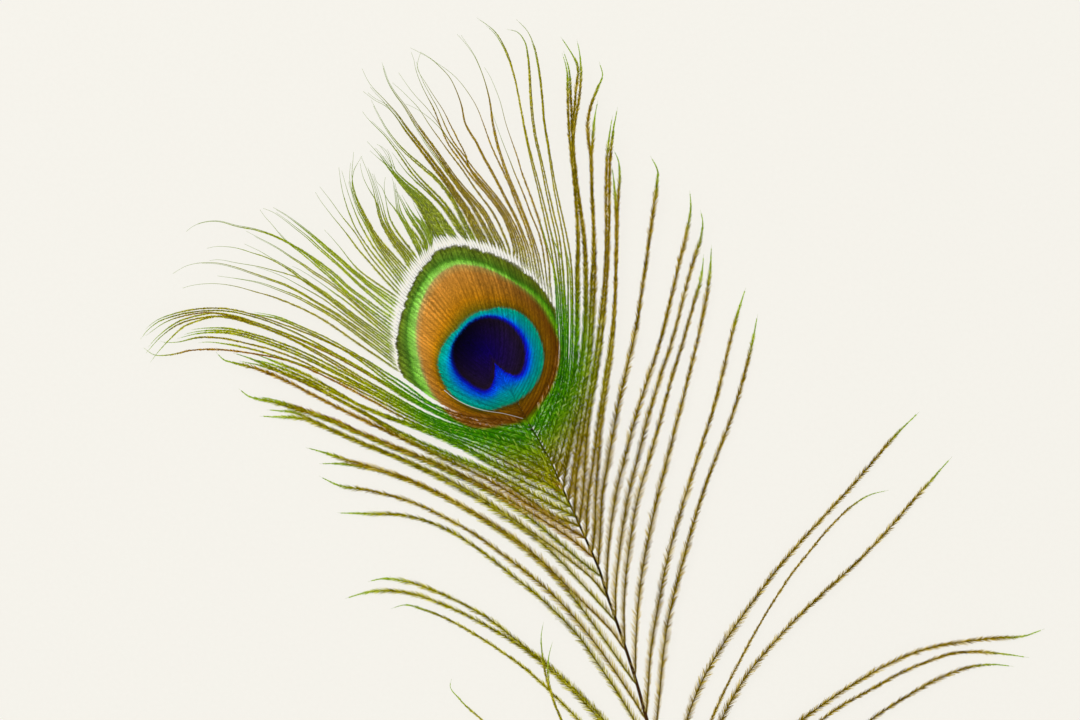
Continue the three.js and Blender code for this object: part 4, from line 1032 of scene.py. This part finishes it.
def loose_ramus(skin, barb, path, style):
    """The stem of a loose barb."""
    total = path["at"][-1]

    def there(measure):
        """A measure of places in plan, as a function of the share of the stem's length."""
        return lambda share: measure(*at_distance(path, "curve", share * total)[:, :2].T)

    def dark(share):
        return style["stem"] + (style["near_stem"] - style["stem"]) * (
            1 - smooth_step(share * total, *NEAR_SHAFT))

    def fading(share):
        return 1 - STEM_FADE * smooth_step(share, STEM_FADE_FROM, 1)
    add_ramus(skin, barb, path, style["radius"], 0, total, fleck=STEM_TONE,
              core=lambda share: dark(share) * fading(share),
              green=lambda share: style["green"] * there(greenness)(share),
              bronze=there(bronzeness), warm=style["warm"],
              tip=lambda share: smooth_step(share * total, total - style["tip"], total - TIP_REST),
              pale=style["stem_pale"])


def no_pale(share):
    """For a stem that isn't pale."""
    return 0 * share


def tapering(shares, radii):
    """Radius of a stem, as a function of the share of its length."""
    return lambda share: np.interp(share, shares, radii)


# The usual look of a barb: the barbules' length, width and angle; the shares of the barb between
# which it is fringed; the distance by which the fringe has its usual length and the share over
# which it tapers; how pale and green it is; the length of its bright tip; how dark the barbules'
# roots (core: their own dark and partly painted shade of the stem) and the stem are,
# also near the shaft; how much the barbules cling, and their tone.
LOOSE = {
    "length": 2.4, "width": 0.15, "angle": 32, "fringe": (0.15, 0.99), "swell": 28, "taper": 0.1,
    "pale": 0.5, "green": 1, "tip": 14, "core": 0.8, "near_core": 0.8, "stem": 1, "near_stem": 1,
    "cling": 0.24, "tone": 0.42, "stem_pale": no_pale,
    "radius": tapering((0, 0.1, 0.6, 0.95, 1), (0.2, 0.17, 0.12, 0.05, 0.02)),
}
# Locks whose root is between these heights on the shaft change to the look of those by the eye.
UNDER_EYE = (-14, 16)
LONGEST_NEAR = 2.6            # there, barbules near the root are at most this many times longer
NEAR_LOWER = 0.4              # and the lower ones this long away from the eye, as a share
RISE, LESS_RISE = 1.6, 1.5    # distance over which a fringe begins, and how much less it is there
WIDER, DARKER = 0.2, 0.06     # how much wider and darker the barbules are there


def lock_style(lock, number):
    """The look of one barb of a lock."""
    style = dict(LOOSE)
    for name in ("length", "core", "stem"):
        style[name] = LOOSE[name] * lock["fringe"]
    style["warm"] = lock["warm"][number % len(lock["warm"])]
    under_eye = smooth_step(lock["ways"][0][0][1], *UNDER_EYE)
    near = min(1 / lock["fringe"], LONGEST_NEAR)
    style["near_upper"] = 1 + (near - 1) * under_eye
    style["near_lower"] = NEAR_LOWER + (near - NEAR_LOWER) * under_eye
    style["rise"] = RISE - LESS_RISE * under_eye
    style["pale"] = LOOSE["pale"] * (1 - under_eye)
    style["fringe"] = (LOOSE["fringe"][0] * (1 - under_eye), LOOSE["fringe"][1])
    style["width"] = LOOSE["width"] * (1 + WIDER * under_eye)
    style["tone"] = LOOSE["tone"] - DARKER * under_eye
    return style


def build_lock(name, lock, tip_side, material, rng):
    """One lock of barbs that start at the shaft."""
    skin = Skin(lock["barbs"])
    for number in range(lock["barbs"]):
        path = lock_barb(lock, number, tip_side, rng)
        style = lock_style(lock, number)
        loose_ramus(skin, number, path, style)
        loose_barbules(skin, number, path, style, tip_side, rng)
    return skin.finish(name, material)


# ---------------------------------------------------------------------------------------------
# The eye: its barbs, each with its close barbules, and their loose ends in the crown.
# ---------------------------------------------------------------------------------------------

GUIDE_POINTS = 12
EYE_HEIGHT = 0.62
EYE_ARCH = 0.15
STRAND_GAP = 0.36             # distance between two barbs of one strand
FAN = 17.0                    # distance beyond the rim over which barbs gather into their strand
CLOSING = 0.5                 # how much closer they lie again towards its end
CLOSING_SHARES = (0.5, 0.9)
STRAND_WANDER = (14, 0.16)    # period and size
RIM_GAP = 2                   # distance beyond the rim that a barb crosses freely
KNOT_EVERY = 10               # points of the strand to each knot of the barb
CROWN_WANDER = (12, 0.1)
CROWN_STEADY = 8              # distance over which it sets in


def guide_between(guides, place):
    """The way between two guides: place 0 is the first guide, 1 the last."""
    scaled = place * (len(guides) - 1)
    low = min(int(scaled), len(guides) - 2)
    f = scaled - low
    lower, upper = (spread(smooth_way(guides[i]), GUIDE_POINTS) for i in (low, low + 1))
    return (1 - f) * lower + f * upper


def eye_barb(inner, way, beside, lift, length_share, rng):
    """The path of a barb that crosses the eye and goes on along its strand of the crown."""
    rim = inner[-1]
    way = smooth_way(way)
    at = along(way)
    share = at / at[-1]
    tangents, normals = directions(way)
    start = (rim - way[0]) @ normals[0]
    past = max((rim - way[0]) @ tangents[0], 0)
    gathered = smooth_step(at, 0, FAN)
    closer = 1 - CLOSING * smooth_step(share, *CLOSING_SHARES)
    offset = start * (1 - gathered) + beside * gathered * closer
    offset = offset + wander(rng, at, *STRAND_WANDER) * gathered
    outer = way + normals * offset[:, None]
    outer = outer[(at > past + RIM_GAP) & (share <= length_share)]
    plan = smooth_way(np.concatenate([inner, outer[::KNOT_EVERY]]))
    rim_index = int(np.argmin(np.hypot(*(plan - rim).T)))
    plan_at = along(plan)
    rim_at = plan_at[rim_index]
    inside = np.clip(plan_at / rim_at, 0, 1)
    beyond = np.clip((plan_at - rim_at) / max(plan_at[-1] - rim_at, 1), 0, 1) * length_share
    height = EYE_HEIGHT + EYE_ARCH * np.sin(math.pi * inside) - END_DROP * inside
    rise = arched_height(CROWN_ARCH, lift, beyond) - arched_height(CROWN_ARCH, lift, 0)
    free = smooth_step(plan_at, rim_at, rim_at + CROWN_STEADY)
    height = height + rise
    height = height + wander(rng, plan_at, *CROWN_WANDER) * free
    return make_path(plan, height), rim_at


RIM_RING = 5.88               # ring number where the barbules end
RAGGED = 0.12                 # how unevenly, each way
WEB_STEP = 0.5
WEB_HALF = 0.42               # half of the width of the web under a barb
WEB_DEPTH = 0.16              # how far under the barb's middle it lies
WEB_SHORT = 0.4               # how far before the last barbule it ends
WEB_ROW = (0.86, 0.98)        # its place in the barb's row of the baking map
# tone of the web: darker than the barbules, as painted shade between them
WEB_SHADE_TONE = 0.2
EYE_RADIUS = tapering((0, 1), (0.12, 0.09))
EYE_STEM_TONE = 0.15
EYE_FIRST = 0.2               # distance of the first barbule from the barb's root
EYE_SPACING = 0.17
EYE_JITTER = 0.03
EYE_LENGTH = 1.25
EYE_LENGTH_SPREAD = (0.85, 1.1)
EYE_END = 1.2                 # distance over which the last barbules get shorter
EYE_END_SHORTER = 0.45
EYE_WIDTH = 0.3
EYE_WIDTH_SPREAD = (0.8, 1.15)
EYE_LEAN, EYE_LEAN_SPREAD = 36, 2       # degrees
EYE_LIFT, EYE_LIFT_SPREAD = 3, 2.5
EYE_ROLL, EYE_ROLL_SPREAD = 0.2, 0.14
EYE_CURL = -0.05
EYE_TONE, EYE_TONE_SPREAD = 0.52, 0.1
EYE_TONE_WANDER = (2, 0.14)   # period and size
BARB_TONE, BARB_TONE_SPREAD = 0.16, 0.2      # every other barb is lighter
PALE_BARB = 0.3               # how much paler a few barbs are
USUAL_BARBS = 0.93            # share of the barbs that aren't
RIM_CONTRAST = 0.8            # how much more the tones differ near the rim, as a share
RIM_CONTRAST_RINGS = (4.8, 5.4)         # ring numbers between which that sets in
DARK_ROOT = 0.14
OWN_COLOUR = 0.4              # a barbule takes this of its colour from where each vertex lies


def eye_values(colour_point, fleck):
    """What the material reads in the eye."""
    ring, lit = eye_place(colour_point[..., 0], colour_point[..., 1])
    return {"ring": ring / RING_COUNT, "lit": lit, "fleck": fleck}


def add_eye_web(skin, barb, path, distance, centre, across):
    """The web under a barb's close barbules: a flat strip along it, toned darker so that it shows
    through their gaps as painted shade.
    """
    strip = np.stack([centre - WEB_HALF * across, centre + WEB_HALF * across], axis=1)
    strip[..., 2] -= WEB_DEPTH
    u = (distance / path["at"][-1])[:, None]
    v = chart_row(skin, barb, np.array(WEB_ROW))
    skin.add(strip[None], u, v, **eye_values(strip[None], WEB_SHADE_TONE))


def add_eye_stem(skin, barb, path, rim_at):
    """The stem of a barb, in the colours of the rings that it crosses."""
    def there(which):
        return lambda share: eye_place(*at_distance(path, "curve", share * rim_at)[:, :2].T)[which]
    add_ramus(skin, barb, path, EYE_RADIUS, 0, rim_at, fleck=EYE_STEM_TONE, lit=there(1),
              ring=lambda share: there(0)(share) / RING_COUNT)


def add_eye_barbules(skin, barb, path, last, rings, barb_tone, rng):
    """The close barbules of a barb as far as the distance last. rings are distances along the barb
    and the ring numbers there."""
    roots = np.arange(EYE_FIRST, last, EYE_SPACING)
    many = len(roots)
    roots = roots + rng.uniform(-EYE_JITTER, EYE_JITTER, many)
    end_fade = 1 - EYE_END_SHORTER * smooth_step(roots, last - EYE_END, last)
    contrast = 1 + RIM_CONTRAST * smooth_step(np.interp(roots, *rings), *RIM_CONTRAST_RINGS)
    darker_root = DARK_ROOT * np.array([1, 0, 0])[None, :, None]
    for side in (1, -1):
        shape = {
            "length": EYE_LENGTH * end_fade * rng.uniform(*EYE_LENGTH_SPREAD, many),
            "width": EYE_WIDTH * rng.uniform(*EYE_WIDTH_SPREAD, many),
            "angle": np.radians(EYE_LEAN + rng.normal(0, EYE_LEAN_SPREAD, many)),
            "lift": np.radians(EYE_LIFT + rng.normal(0, EYE_LIFT_SPREAD, many)),
            "roll": rng.normal(EYE_ROLL * side, EYE_ROLL_SPREAD, many),
            "curl": EYE_CURL,
        }
        tone = EYE_TONE + contrast * (barb_tone + wander(rng, roots, *EYE_TONE_WANDER))
        tone = np.clip(tone + rng.normal(0, EYE_TONE_SPREAD, many), 0, 1)

        def values(grid):
            middle = grid[:, 1:2].mean(axis=2, keepdims=True)
            colour_point = OWN_COLOUR * grid + (1 - OWN_COLOUR) * middle
            return eye_values(colour_point, per_blade(tone) - darker_root)
        add_barbules(skin, barb, path, roots, side, shape, values)


def add_eye_part(skin, barb, path, rim_at, rng):
    """One barb's part in the eye. Returns the distance along it at which its barbules end."""
    distance = np.arange(0, rim_at, WEB_STEP)
    centre = at_distance(path, "curve", distance)
    across = at_distance(path, "normals", distance)
    ring = eye_place(centre[:, 0], centre[:, 1])[0]
    covered = distance[ring < RIM_RING + rng.uniform(-RAGGED, RAGGED)]
    last = covered[-1] if len(covered) else rim_at
    barb_tone = BARB_TONE * (-1) ** barb + rng.uniform(-BARB_TONE_SPREAD, BARB_TONE_SPREAD)
    barb_tone += PALE_BARB * (rng.uniform() > USUAL_BARBS)
    keep = distance <= last - WEB_SHORT
    add_eye_web(skin, barb, path, distance[keep], centre[keep], across[keep])
    add_eye_stem(skin, barb, path, rim_at)
    add_eye_barbules(skin, barb, path, last, (distance, ring), barb_tone, rng)
    return last


SPLIT_RADIUS, SPLIT_THICKER = 0.04, 0.05      # at its start, and how much more at its end
SPLIT_TONE = 0.3


def add_split_strand(skin):
    """The pale stem of a barb that has come away and lies across the foot of the eye."""
    plan = smooth_way(SPLIT_STRAND)
    path = make_path(plan, np.full(len(plan), SPLIT_HEIGHT))
    add_ramus(skin, 0, path, lambda share: SPLIT_RADIUS + SPLIT_THICKER * share, 0,
              path["at"][-1], ring=1.0, lit=1.0, fleck=SPLIT_TONE)


# The look of a barb beyond the eye, as LOOSE is for the others.
CROWN = {
    "length": 0.86, "width": 0.142, "angle": 27, "rise": 2, "swell": 20, "taper": 0.3,
    "pale": 0.1, "green": 0.45, "tip": 22, "core": 0.2, "stem": 0.35, "cling": 0.2, "tone": 0.38,
    "radius": tapering((0, 0.08, 0.2, 0.7, 1), (0.08, 0.09, 0.12, 0.09, 0.03)),
}
CROWN_LENGTH_SPREAD = (0.75, 1.15)
BARE_SIDE = math.radians(118)     # where round the eye the bare band outside its rim is widest
BARE_SPREAD = math.radians(42)
BARE_STEMS = (0.35, 2.0)          # narrowest bare band, and how much wider the widest is
BARE_UNEVEN = (0.7, 1.3)
PALE_STEM = (1.2, 3.4)            # distances between which a bare stem turns from pale
FRINGE_END = 0.9                  # share of the barb where its fringe ends
FRINGE_END_SPREAD = (-0.1, 0.04)
# What a barb gets for each 1 that its lock's fullness is over 1.
FULL_DARKER = 0.22
FULL_WIDER = 0.4
FULL_STEM = 0.5


def cut_path(path, start):
    """The rest of a path from a distance along it."""
    keep = path["at"] >= start
    rest = {name: table[keep] for name, table in path.items()}
    rest["at"] = rest["at"] - rest["at"][0]
    return rest


def add_crown_part(skin, barb, path, start, warm, full, rng):
    """One barb's loose end beyond the eye: bare next to the rim, then fringed, then a hair."""
    rest = cut_path(path, start)
    x, y = rest["curve"][0, :2] - EYE_MIDDLE
    turned = (math.atan2(y, x) - BARE_SIDE) / BARE_SPREAD
    bare = BARE_STEMS[0] + BARE_STEMS[1] * math.exp(-turned**2)
    fuller = max(full - 1, 0)
    style = dict(CROWN)
    style["fringe"] = (bare * rng.uniform(*BARE_UNEVEN),
                       FRINGE_END + rng.uniform(*FRINGE_END_SPREAD))
    style["length"] = CROWN["length"] * rng.uniform(*CROWN_LENGTH_SPREAD)
    style["near_upper"] = style["near_lower"] = full
    style["tone"] = CROWN["tone"] - FULL_DARKER * fuller
    style["width"] = CROWN["width"] * (1 + FULL_WIDER * fuller)
    style["near_stem"] = style["near_core"] = CROWN["stem"] + FULL_STEM * fuller
    style["warm"] = warm
    style["stem_pale"] = lambda share: 1 - smooth_step(share * rest["at"][-1], *PALE_STEM)
    loose_ramus(skin, barb, rest, style)
    loose_barbules(skin, barb, rest, style, 1, rng)


# ---------------------------------------------------------------------------------------------
# Materials.
# ---------------------------------------------------------------------------------------------

def linear(colour):
    """A colour given as the eye sees it, 0 to 255, as the linear colour that a shader takes, by
    the sRGB curve."""
    parts = [c / 255 for c in colour]
    return tuple(c / 12.92 if c <= 0.04045 else ((c + 0.055) / 1.055) ** 2.4 for c in parts)


MIX_FACTOR, MIX_FIRST, MIX_SECOND, MIX_RESULT = 0, 6, 7, 2     # colour sockets of a Mix node


class Nodes:
    """Short calls for building a material's nodes."""

    def __init__(self, name):
        self.material = bpy.data.materials.new(name)
        self.material.use_nodes = True
        self.tree = self.material.node_tree
        self.shader = self.tree.nodes["Principled BSDF"]

    def attribute(self, name):
        node = self.tree.nodes.new("ShaderNodeAttribute")
        node.attribute_name = name
        return node.outputs["Fac"]

    def ramp(self, factor, stops):
        """A colour ramp; stops are (place, colour)."""
        node = self.tree.nodes.new("ShaderNodeValToRGB")
        elements = node.color_ramp.elements
        while len(elements) < len(stops):
            elements.new(0.5)
        for element, (place, colour) in zip(elements, stops):
            element.position = place
            element.color = (*linear(colour), 1)
        self.tree.links.new(factor, node.inputs["Fac"])
        return node.outputs["Color"]

    def mix(self, factor, first, second, how="MIX"):
        node = self.tree.nodes.new("ShaderNodeMix")
        node.data_type = "RGBA"
        node.blend_type = how
        for number, value in ((MIX_FACTOR, factor), (MIX_FIRST, first), (MIX_SECOND, second)):
            socket = node.inputs[number]
            if isinstance(value, bpy.types.NodeSocket):
                self.tree.links.new(value, socket)
            elif isinstance(value, tuple):
                socket.default_value = (*linear(value), 1)
            else:
                socket.default_value = value
        return node.outputs[MIX_RESULT]

    def finish(self, colour, roughness, specular):
        self.tree.links.new(colour, self.shader.inputs["Base Color"])
        self.shader.inputs["Roughness"].default_value = roughness
        self.shader.inputs["Specular IOR Level"].default_value = specular
        return self.material


GREEN = [(0, (14, 84, 0)), (0.35, (54, 150, 0)), (0.65, (108, 198, 10)), (1, (178, 234, 60))]
BRONZE = [(0, (92, 48, 2)), (0.5, (158, 98, 18)), (1, (214, 160, 90))]
BROWN = [(0, (92, 60, 0)), (0.35, (158, 114, 6)), (0.65, (206, 164, 44)), (1, (242, 216, 130))]
OLIVE = [(0, (84, 72, 2)), (0.35, (140, 122, 6)), (0.65, (190, 168, 36)), (1, (240, 220, 116))]
LEFT_OLIVE = [(0, (82, 82, 0)), (0.35, (150, 154, 0)), (0.65, (200, 208, 6)),
              (1, (240, 240, 80))]
CROWN_OLIVE = [(0, (92, 104, 0)), (0.35, (158, 176, 0)), (0.65, (204, 220, 8)),
               (1, (238, 244, 90))]
TIPS = [(0, (106, 134, 0)), (0.5, (148, 184, 24)), (1, (196, 220, 86))]
CROWN_TIPS = [(0, (100, 126, 12)), (0.5, (144, 172, 36)), (1, (194, 210, 96))]
FRINGE = (226, 204, 130)
CROWN_FRINGE = (250, 244, 220)
STEM = (40, 30, 0)
STEM_DEPTH = 0.62             # how near a dark stem comes to that colour
# By ring number: the eye's colours with painted light on its lit side and painted shade on
# its shaded side.
EYE_LIT = [
    (0, (12, 0, 80)), (0.5, (7, 0, 46)), (0.95, (2, 0, 8)), (1.15, (0, 50, 150)),
    (1.6, (0, 132, 190)), (2.2, (0, 172, 176)), (2.9, (0, 158, 124)), (3.05, (110, 104, 10)),
    (3.3, (196, 130, 12)), (3.85, (212, 146, 58)), (4.05, (190, 162, 98)), (4.3, (160, 222, 98)),
    (4.85, (124, 192, 64)), (5.1, (76, 122, 34)), (5.6, (104, 134, 36)), (5.95, (84, 88, 14)),
    (6.2, (236, 234, 222)), (7, (244, 242, 234)),
]
EYE_SHADED = [
    (0, (14, 0, 84)), (0.45, (26, 10, 62)), (0.92, (32, 20, 34)), (1.0, (4, 16, 205)),
    (1.8, (0, 78, 225)), (2.3, (0, 136, 156)), (2.9, (0, 146, 116)), (3.04, (84, 62, 0)),
    (3.3, (116, 76, 2)), (3.85, (88, 50, 0)), (4.08, (84, 106, 0)), (4.4, (104, 160, 4)),
    (4.9, (66, 134, 4)), (5.2, (58, 88, 6)), (5.8, (88, 92, 16)), (6.2, (228, 228, 212)),
    (7, (244, 242, 234)),
]
# By place along the shaft.
HORN = [(0, (226, 206, 170)), (0.18, (206, 172, 120)), (0.34, (150, 104, 58)),
        (0.5, (72, 42, 12)), (0.75, (34, 20, 0)), (1, (26, 26, 0))]
STREAK = (20, 10, 0)
STREAK_DEPTH = 0.35
EYE_LIGHTER, EYE_DARKER = 0.45, 0.55     # how far light and dark flecks are from the rings' colours
BARB_FINISH = (0.6, 0.02)     # roughness and specular level
SHAFT_FINISH = (0.4, 0.05)
PAPER_FINISH = (0.9, 0.1)


def barb_material(name, olive, tip, pale):
    """Loose barbs: olive to brown or green, with a dark stem, pale fringe ends and bright tips."""
    nodes = Nodes(name)
    fleck = nodes.attribute("fleck")
    colour = nodes.mix(nodes.attribute("warm"), nodes.ramp(fleck, olive), nodes.ramp(fleck, BROWN))
    colour = nodes.mix(nodes.attribute("green"), colour, nodes.ramp(fleck, GREEN))
    colour = nodes.mix(nodes.attribute("bronze"), colour, nodes.ramp(fleck, BRONZE))
    colour = nodes.mix(nodes.attribute("core"), colour, nodes.mix(STEM_DEPTH, colour, STEM))
    colour = nodes.mix(nodes.attribute("tip"), colour, nodes.ramp(fleck, tip))
    colour = nodes.mix(nodes.attribute("pale"), colour, pale)
    return nodes.finish(colour, *BARB_FINISH)


def ring_stops(colours):
    """The colours by ring number, with the number made a share of them all."""
    return [(number / RING_COUNT, colour) for number, colour in colours]


def eye_material():
    """The eye: one ramp through its rings with painted light for its lit side, one with painted
    shade for its shaded side.
    """
    nodes = Nodes("eye_barbs")
    ring = nodes.attribute("ring")
    lit_side = nodes.ramp(ring, ring_stops(EYE_LIT))
    shaded_side = nodes.ramp(ring, ring_stops(EYE_SHADED))
    colour = nodes.mix(nodes.attribute("lit"), shaded_side, lit_side)
    light = nodes.mix(EYE_LIGHTER, colour, colour, "ADD")
    dark = nodes.mix(EYE_DARKER, colour, (0, 0, 0))
    colour = nodes.mix(nodes.attribute("fleck"), dark, light)
    return nodes.finish(colour, *BARB_FINISH)


def shaft_material():
    """Horn: dark brown along the eye, tan towards the quill, streaked lengthwise."""
    nodes = Nodes("shaft_horn")
    tones = nodes.ramp(nodes.attribute("tip"), HORN)
    dark = nodes.mix(STREAK_DEPTH, tones, STREAK)
    streaks = nodes.mix(nodes.attribute("fleck"), dark, tones)
    return nodes.finish(streaks, *SHAFT_FINISH)


MATERIALS = {
    "left": barb_material("left_barbs", LEFT_OLIVE, TIPS, FRINGE),
    "crown": barb_material("crown_barbs", CROWN_OLIVE, CROWN_TIPS, CROWN_FRINGE),
    "right": barb_material("right_barbs", OLIVE, TIPS, FRINGE),
    "eye": eye_material(),
    "shaft": shaft_material(),
}

# ---------------------------------------------------------------------------------------------
# The shaft.
# ---------------------------------------------------------------------------------------------

SHAFT_SIDES = 20
SHAFT_STEP = 0.8
SHAFT_SQUARENESS = 0.75       # below 1, the section is squarer than an ellipse
SHAFT_CROWNING = 1.25         # above 1, it is widest below its middle
GROOVE_DEPTH = 0.16           # of the shaft's height
GROOVE_HALF = 0.35            # of its half width
STREAKINESS = 0.25
SHAFT_ROW = (0.05, 0.95)      # its place in the baking map
TONE_FADE = 0.8               # below 1, the quill's tan ends sooner
CAP_SIZES = (1, 0.7, 0.02)    # of the rings that close an end
CAP_MAP = (0.02, 0.04)        # size of an end in the baking map
TIP_CAP_PLACE = 0.97
CAP_TONE = 0.8


def add_cap(skin, ring, place, tip):
    """The flat end of the shaft that a ring of vertices bounds."""
    middle = ring[:-1].mean(axis=0)
    sizes = np.array(CAP_SIZES)[:, None, None]
    cap = middle + (ring[None] - middle) * sizes
    u = place + CAP_MAP[0] * sizes[..., 0]
    v = np.linspace(0.0, CAP_MAP[1], SHAFT_SIDES + 1)
    skin.add(cap[None], u, v, tip=tip, fleck=CAP_TONE)


def build_shaft(rng):
    """The shaft: flat below with a shallow groove, rounded above, with a cut quill end."""
    at = along(shaft_curve)
    distance = np.append(np.arange(0, at[-1], SHAFT_STEP), at[-1])
    share = distance / at[-1]
    centre = read_at(distance, at, shaft_curve)
    normals = directions(centre)[1]
    half = shaft_half_width(share)
    height = 2 * half * SHAFT_HEIGHT_TO_WIDTH
    turn = np.linspace(-0.5, 1.5, SHAFT_SIDES + 1) * math.pi
    across = np.cos(turn)
    up = 0.5 + 0.5 * np.sin(turn)
    squared = np.sign(across) * np.abs(across) ** SHAFT_SQUARENESS
    groove = GROOVE_DEPTH * np.exp(-(across / GROOVE_HALF) ** 2) * (up < 0.5)
    grid = np.zeros((len(distance), SHAFT_SIDES + 1, 3))
    grid[..., :2] = centre[:, None] + (half[:, None] * squared)[..., None] * normals[:, None]
    grid[..., 2] = height[:, None] * (up**SHAFT_CROWNING + groove)
    streak = 1 - STREAKINESS + STREAKINESS * rng.uniform(-1, 1, SHAFT_SIDES + 1)
    streak[-1] = streak[0]
    skin = Skin(1)
    skin.add(grid[None], share[:, None], np.linspace(*SHAFT_ROW, SHAFT_SIDES + 1),
             tip=share[:, None] ** TONE_FADE, fleck=streak[None])
    add_cap(skin, grid[0], 0.0, 0.0)
    add_cap(skin, grid[-1], TIP_CAP_PLACE, 1.0)
    return skin.finish("shaft_rachis", MATERIALS["shaft"])


# ---------------------------------------------------------------------------------------------
# The whole feather.
# ---------------------------------------------------------------------------------------------

def stand_for(piece, node):
    """The piece rides on the feather's body in place of a node of the model."""
    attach(piece, "root")
    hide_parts(node)


def build_side(side, locks, first, tip_side, rng):
    """The locks of one side, numbered from first."""
    for number, lock in enumerate(locks, first):
        node = f"{side}_lock_{number:02d}"
        piece = build_lock(node + "_barbs", lock, tip_side, MATERIALS[side], rng)
        stand_for(piece, node)


STRAND_LENGTH_SPREAD = (0.86, 1)


def build_eye_half(side, guides, strands, away, rng):
    """Half of the eye's web; returns its barbs' paths by the crown lock that they end in."""
    skin = Skin(len(strands))
    ends = {}
    for barb, (number, way, place) in enumerate(strands):
        inner = guide_between(guides, barb / (len(strands) - 1))
        lift = CROWN_LIFTS[number - 1]
        beside = away * place * STRAND_GAP
        length_share = rng.uniform(*STRAND_LENGTH_SPREAD)
        path, rim_at = eye_barb(inner, way, beside, lift, length_share, rng)
        covered = add_eye_part(skin, barb, path, rim_at, rng)
        ends.setdefault(number, []).append((path, covered))
    if side == "left":
        add_split_strand(skin)
    node = f"eye_web_{side}"
    stand_for(skin.finish(node + "_barbs", MATERIALS["eye"]), node)
    return ends


def build_crown(ends, rng):
    """The crown's locks: the loose ends of the eye's barbs."""
    for number, barbs in sorted(ends.items()):
        skin = Skin(len(barbs))
        for barb, (path, start) in enumerate(barbs):
            warm, full = CROWN_WARMTH[number - 1], CROWN_FULLNESS[number - 1]
            add_crown_part(skin, barb, path, start, warm, full, rng)
        node = f"crown_lock_{number:02d}"
        stand_for(skin.finish(node + "_barbs", MATERIALS["crown"]), node)


def build_feather():
    """All 59 pieces, with one run of random numbers."""
    rng = np.random.default_rng(SEED)
    stand_for(build_shaft(rng), "shaft")
    build_side("left", LEFT_LOCKS, 1, -1, rng)
    build_side("right", RIGHT_LOCKS, 1, 1, rng)
    build_side("crown", EDGE_LOCKS, FIRST_EDGE_LOCK, 1, rng)
    build_crown(build_eye_half("left", LEFT_EYE_GUIDES, LEFT_STRANDS, -1, rng), rng)
    build_crown(build_eye_half("right", RIGHT_EYE_GUIDES, RIGHT_STRANDS, 1, rng), rng)


# ---------------------------------------------------------------------------------------------
# Paper, light and camera.
# ---------------------------------------------------------------------------------------------

VIEW_WIDTH = 280.8            # of what the camera sees
VIEW_MIDDLE = (-15.6, 55.1)
LENS = 100
SENSOR = 36
CLIPPING = (0.01, 20)         # in metres, as are the sizes below
PAPER_SIZE = 4.0
PAPER_COLOURS = [(0.3, (88, 86, 83)), (0.7, (92, 90, 87))]
PAPER_GLOW = (231, 229, 222)
TOOTH_SCALE = 900
TOOTH_STRENGTH = 0.12
TOOTH_DEPTH = 0.0004
SKY_STRENGTH = 0.82
SKY_COLOUR = (1, 0.99, 0.97, 1)
LAMP_POWER = 10
LAMP_SIZE = 1.2
LAMP_COLOUR = (1, 0.985, 0.96)
LAMP_PLACE = (-0.7, 0.75, 1.1)


def build_paper():
    """A sheet of pale paper with a faint tooth. Most of its brightness is its own glow, so that
    the shadows on it stay faint."""
    bpy.ops.mesh.primitive_plane_add(size=PAPER_SIZE, location=(0, 0, 0))
    paper = bpy.context.object
    paper.name = "paper"
    nodes = Nodes("paper")
    noise = nodes.tree.nodes.new("ShaderNodeTexNoise")
    noise.inputs["Scale"].default_value = TOOTH_SCALE
    coordinates = nodes.tree.nodes.new("ShaderNodeTexCoord")
    nodes.tree.links.new(coordinates.outputs["Object"], noise.inputs["Vector"])
    bump = nodes.tree.nodes.new("ShaderNodeBump")
    bump.inputs["Strength"].default_value = TOOTH_STRENGTH
    bump.inputs["Distance"].default_value = TOOTH_DEPTH
    nodes.tree.links.new(noise.outputs["Fac"], bump.inputs["Height"])
    nodes.tree.links.new(bump.outputs["Normal"], nodes.shader.inputs["Normal"])
    nodes.shader.inputs["Emission Color"].default_value = (*linear(PAPER_GLOW), 1)
    nodes.shader.inputs["Emission Strength"].default_value = 1
    colour = nodes.ramp(noise.outputs["Fac"], PAPER_COLOURS)
    paper.data.materials.append(nodes.finish(colour, *PAPER_FINISH))


def build_light():
    """Light from all round and a large soft lamp at the upper left."""
    world = bpy.data.worlds.new("surroundings")
    world.use_nodes = True
    background = world.node_tree.nodes["Background"]
    background.inputs["Color"].default_value = SKY_COLOUR
    background.inputs["Strength"].default_value = SKY_STRENGTH
    bpy.context.scene.world = world
    lamp = bpy.data.lights.new("soft_lamp", "AREA")
    lamp.shape = "DISK"
    lamp.size = LAMP_SIZE
    lamp.energy = LAMP_POWER
    lamp.color = LAMP_COLOUR
    holder = bpy.data.objects.new("soft_lamp", lamp)
    holder.location = LAMP_PLACE
    aim = -holder.location.normalized()
    holder.rotation_euler = aim.to_track_quat("-Z", "Y").to_euler()
    bpy.context.scene.collection.objects.link(holder)


def build_camera():
    """Straight above the paper."""
    camera = bpy.data.cameras.new("camera")
    camera.lens = LENS
    camera.sensor_width = SENSOR
    camera.clip_start, camera.clip_end = CLIPPING
    holder = bpy.data.objects.new("camera", camera)
    holder.location = (VIEW_MIDDLE[0] * MM, VIEW_MIDDLE[1] * MM, VIEW_WIDTH * MM * LENS / SENSOR)
    bpy.context.scene.collection.objects.link(holder)
    bpy.context.scene.camera = holder


build_feather()
build_paper()
build_light()
build_camera()
bpy.context.scene.view_settings.view_transform = "Standard"
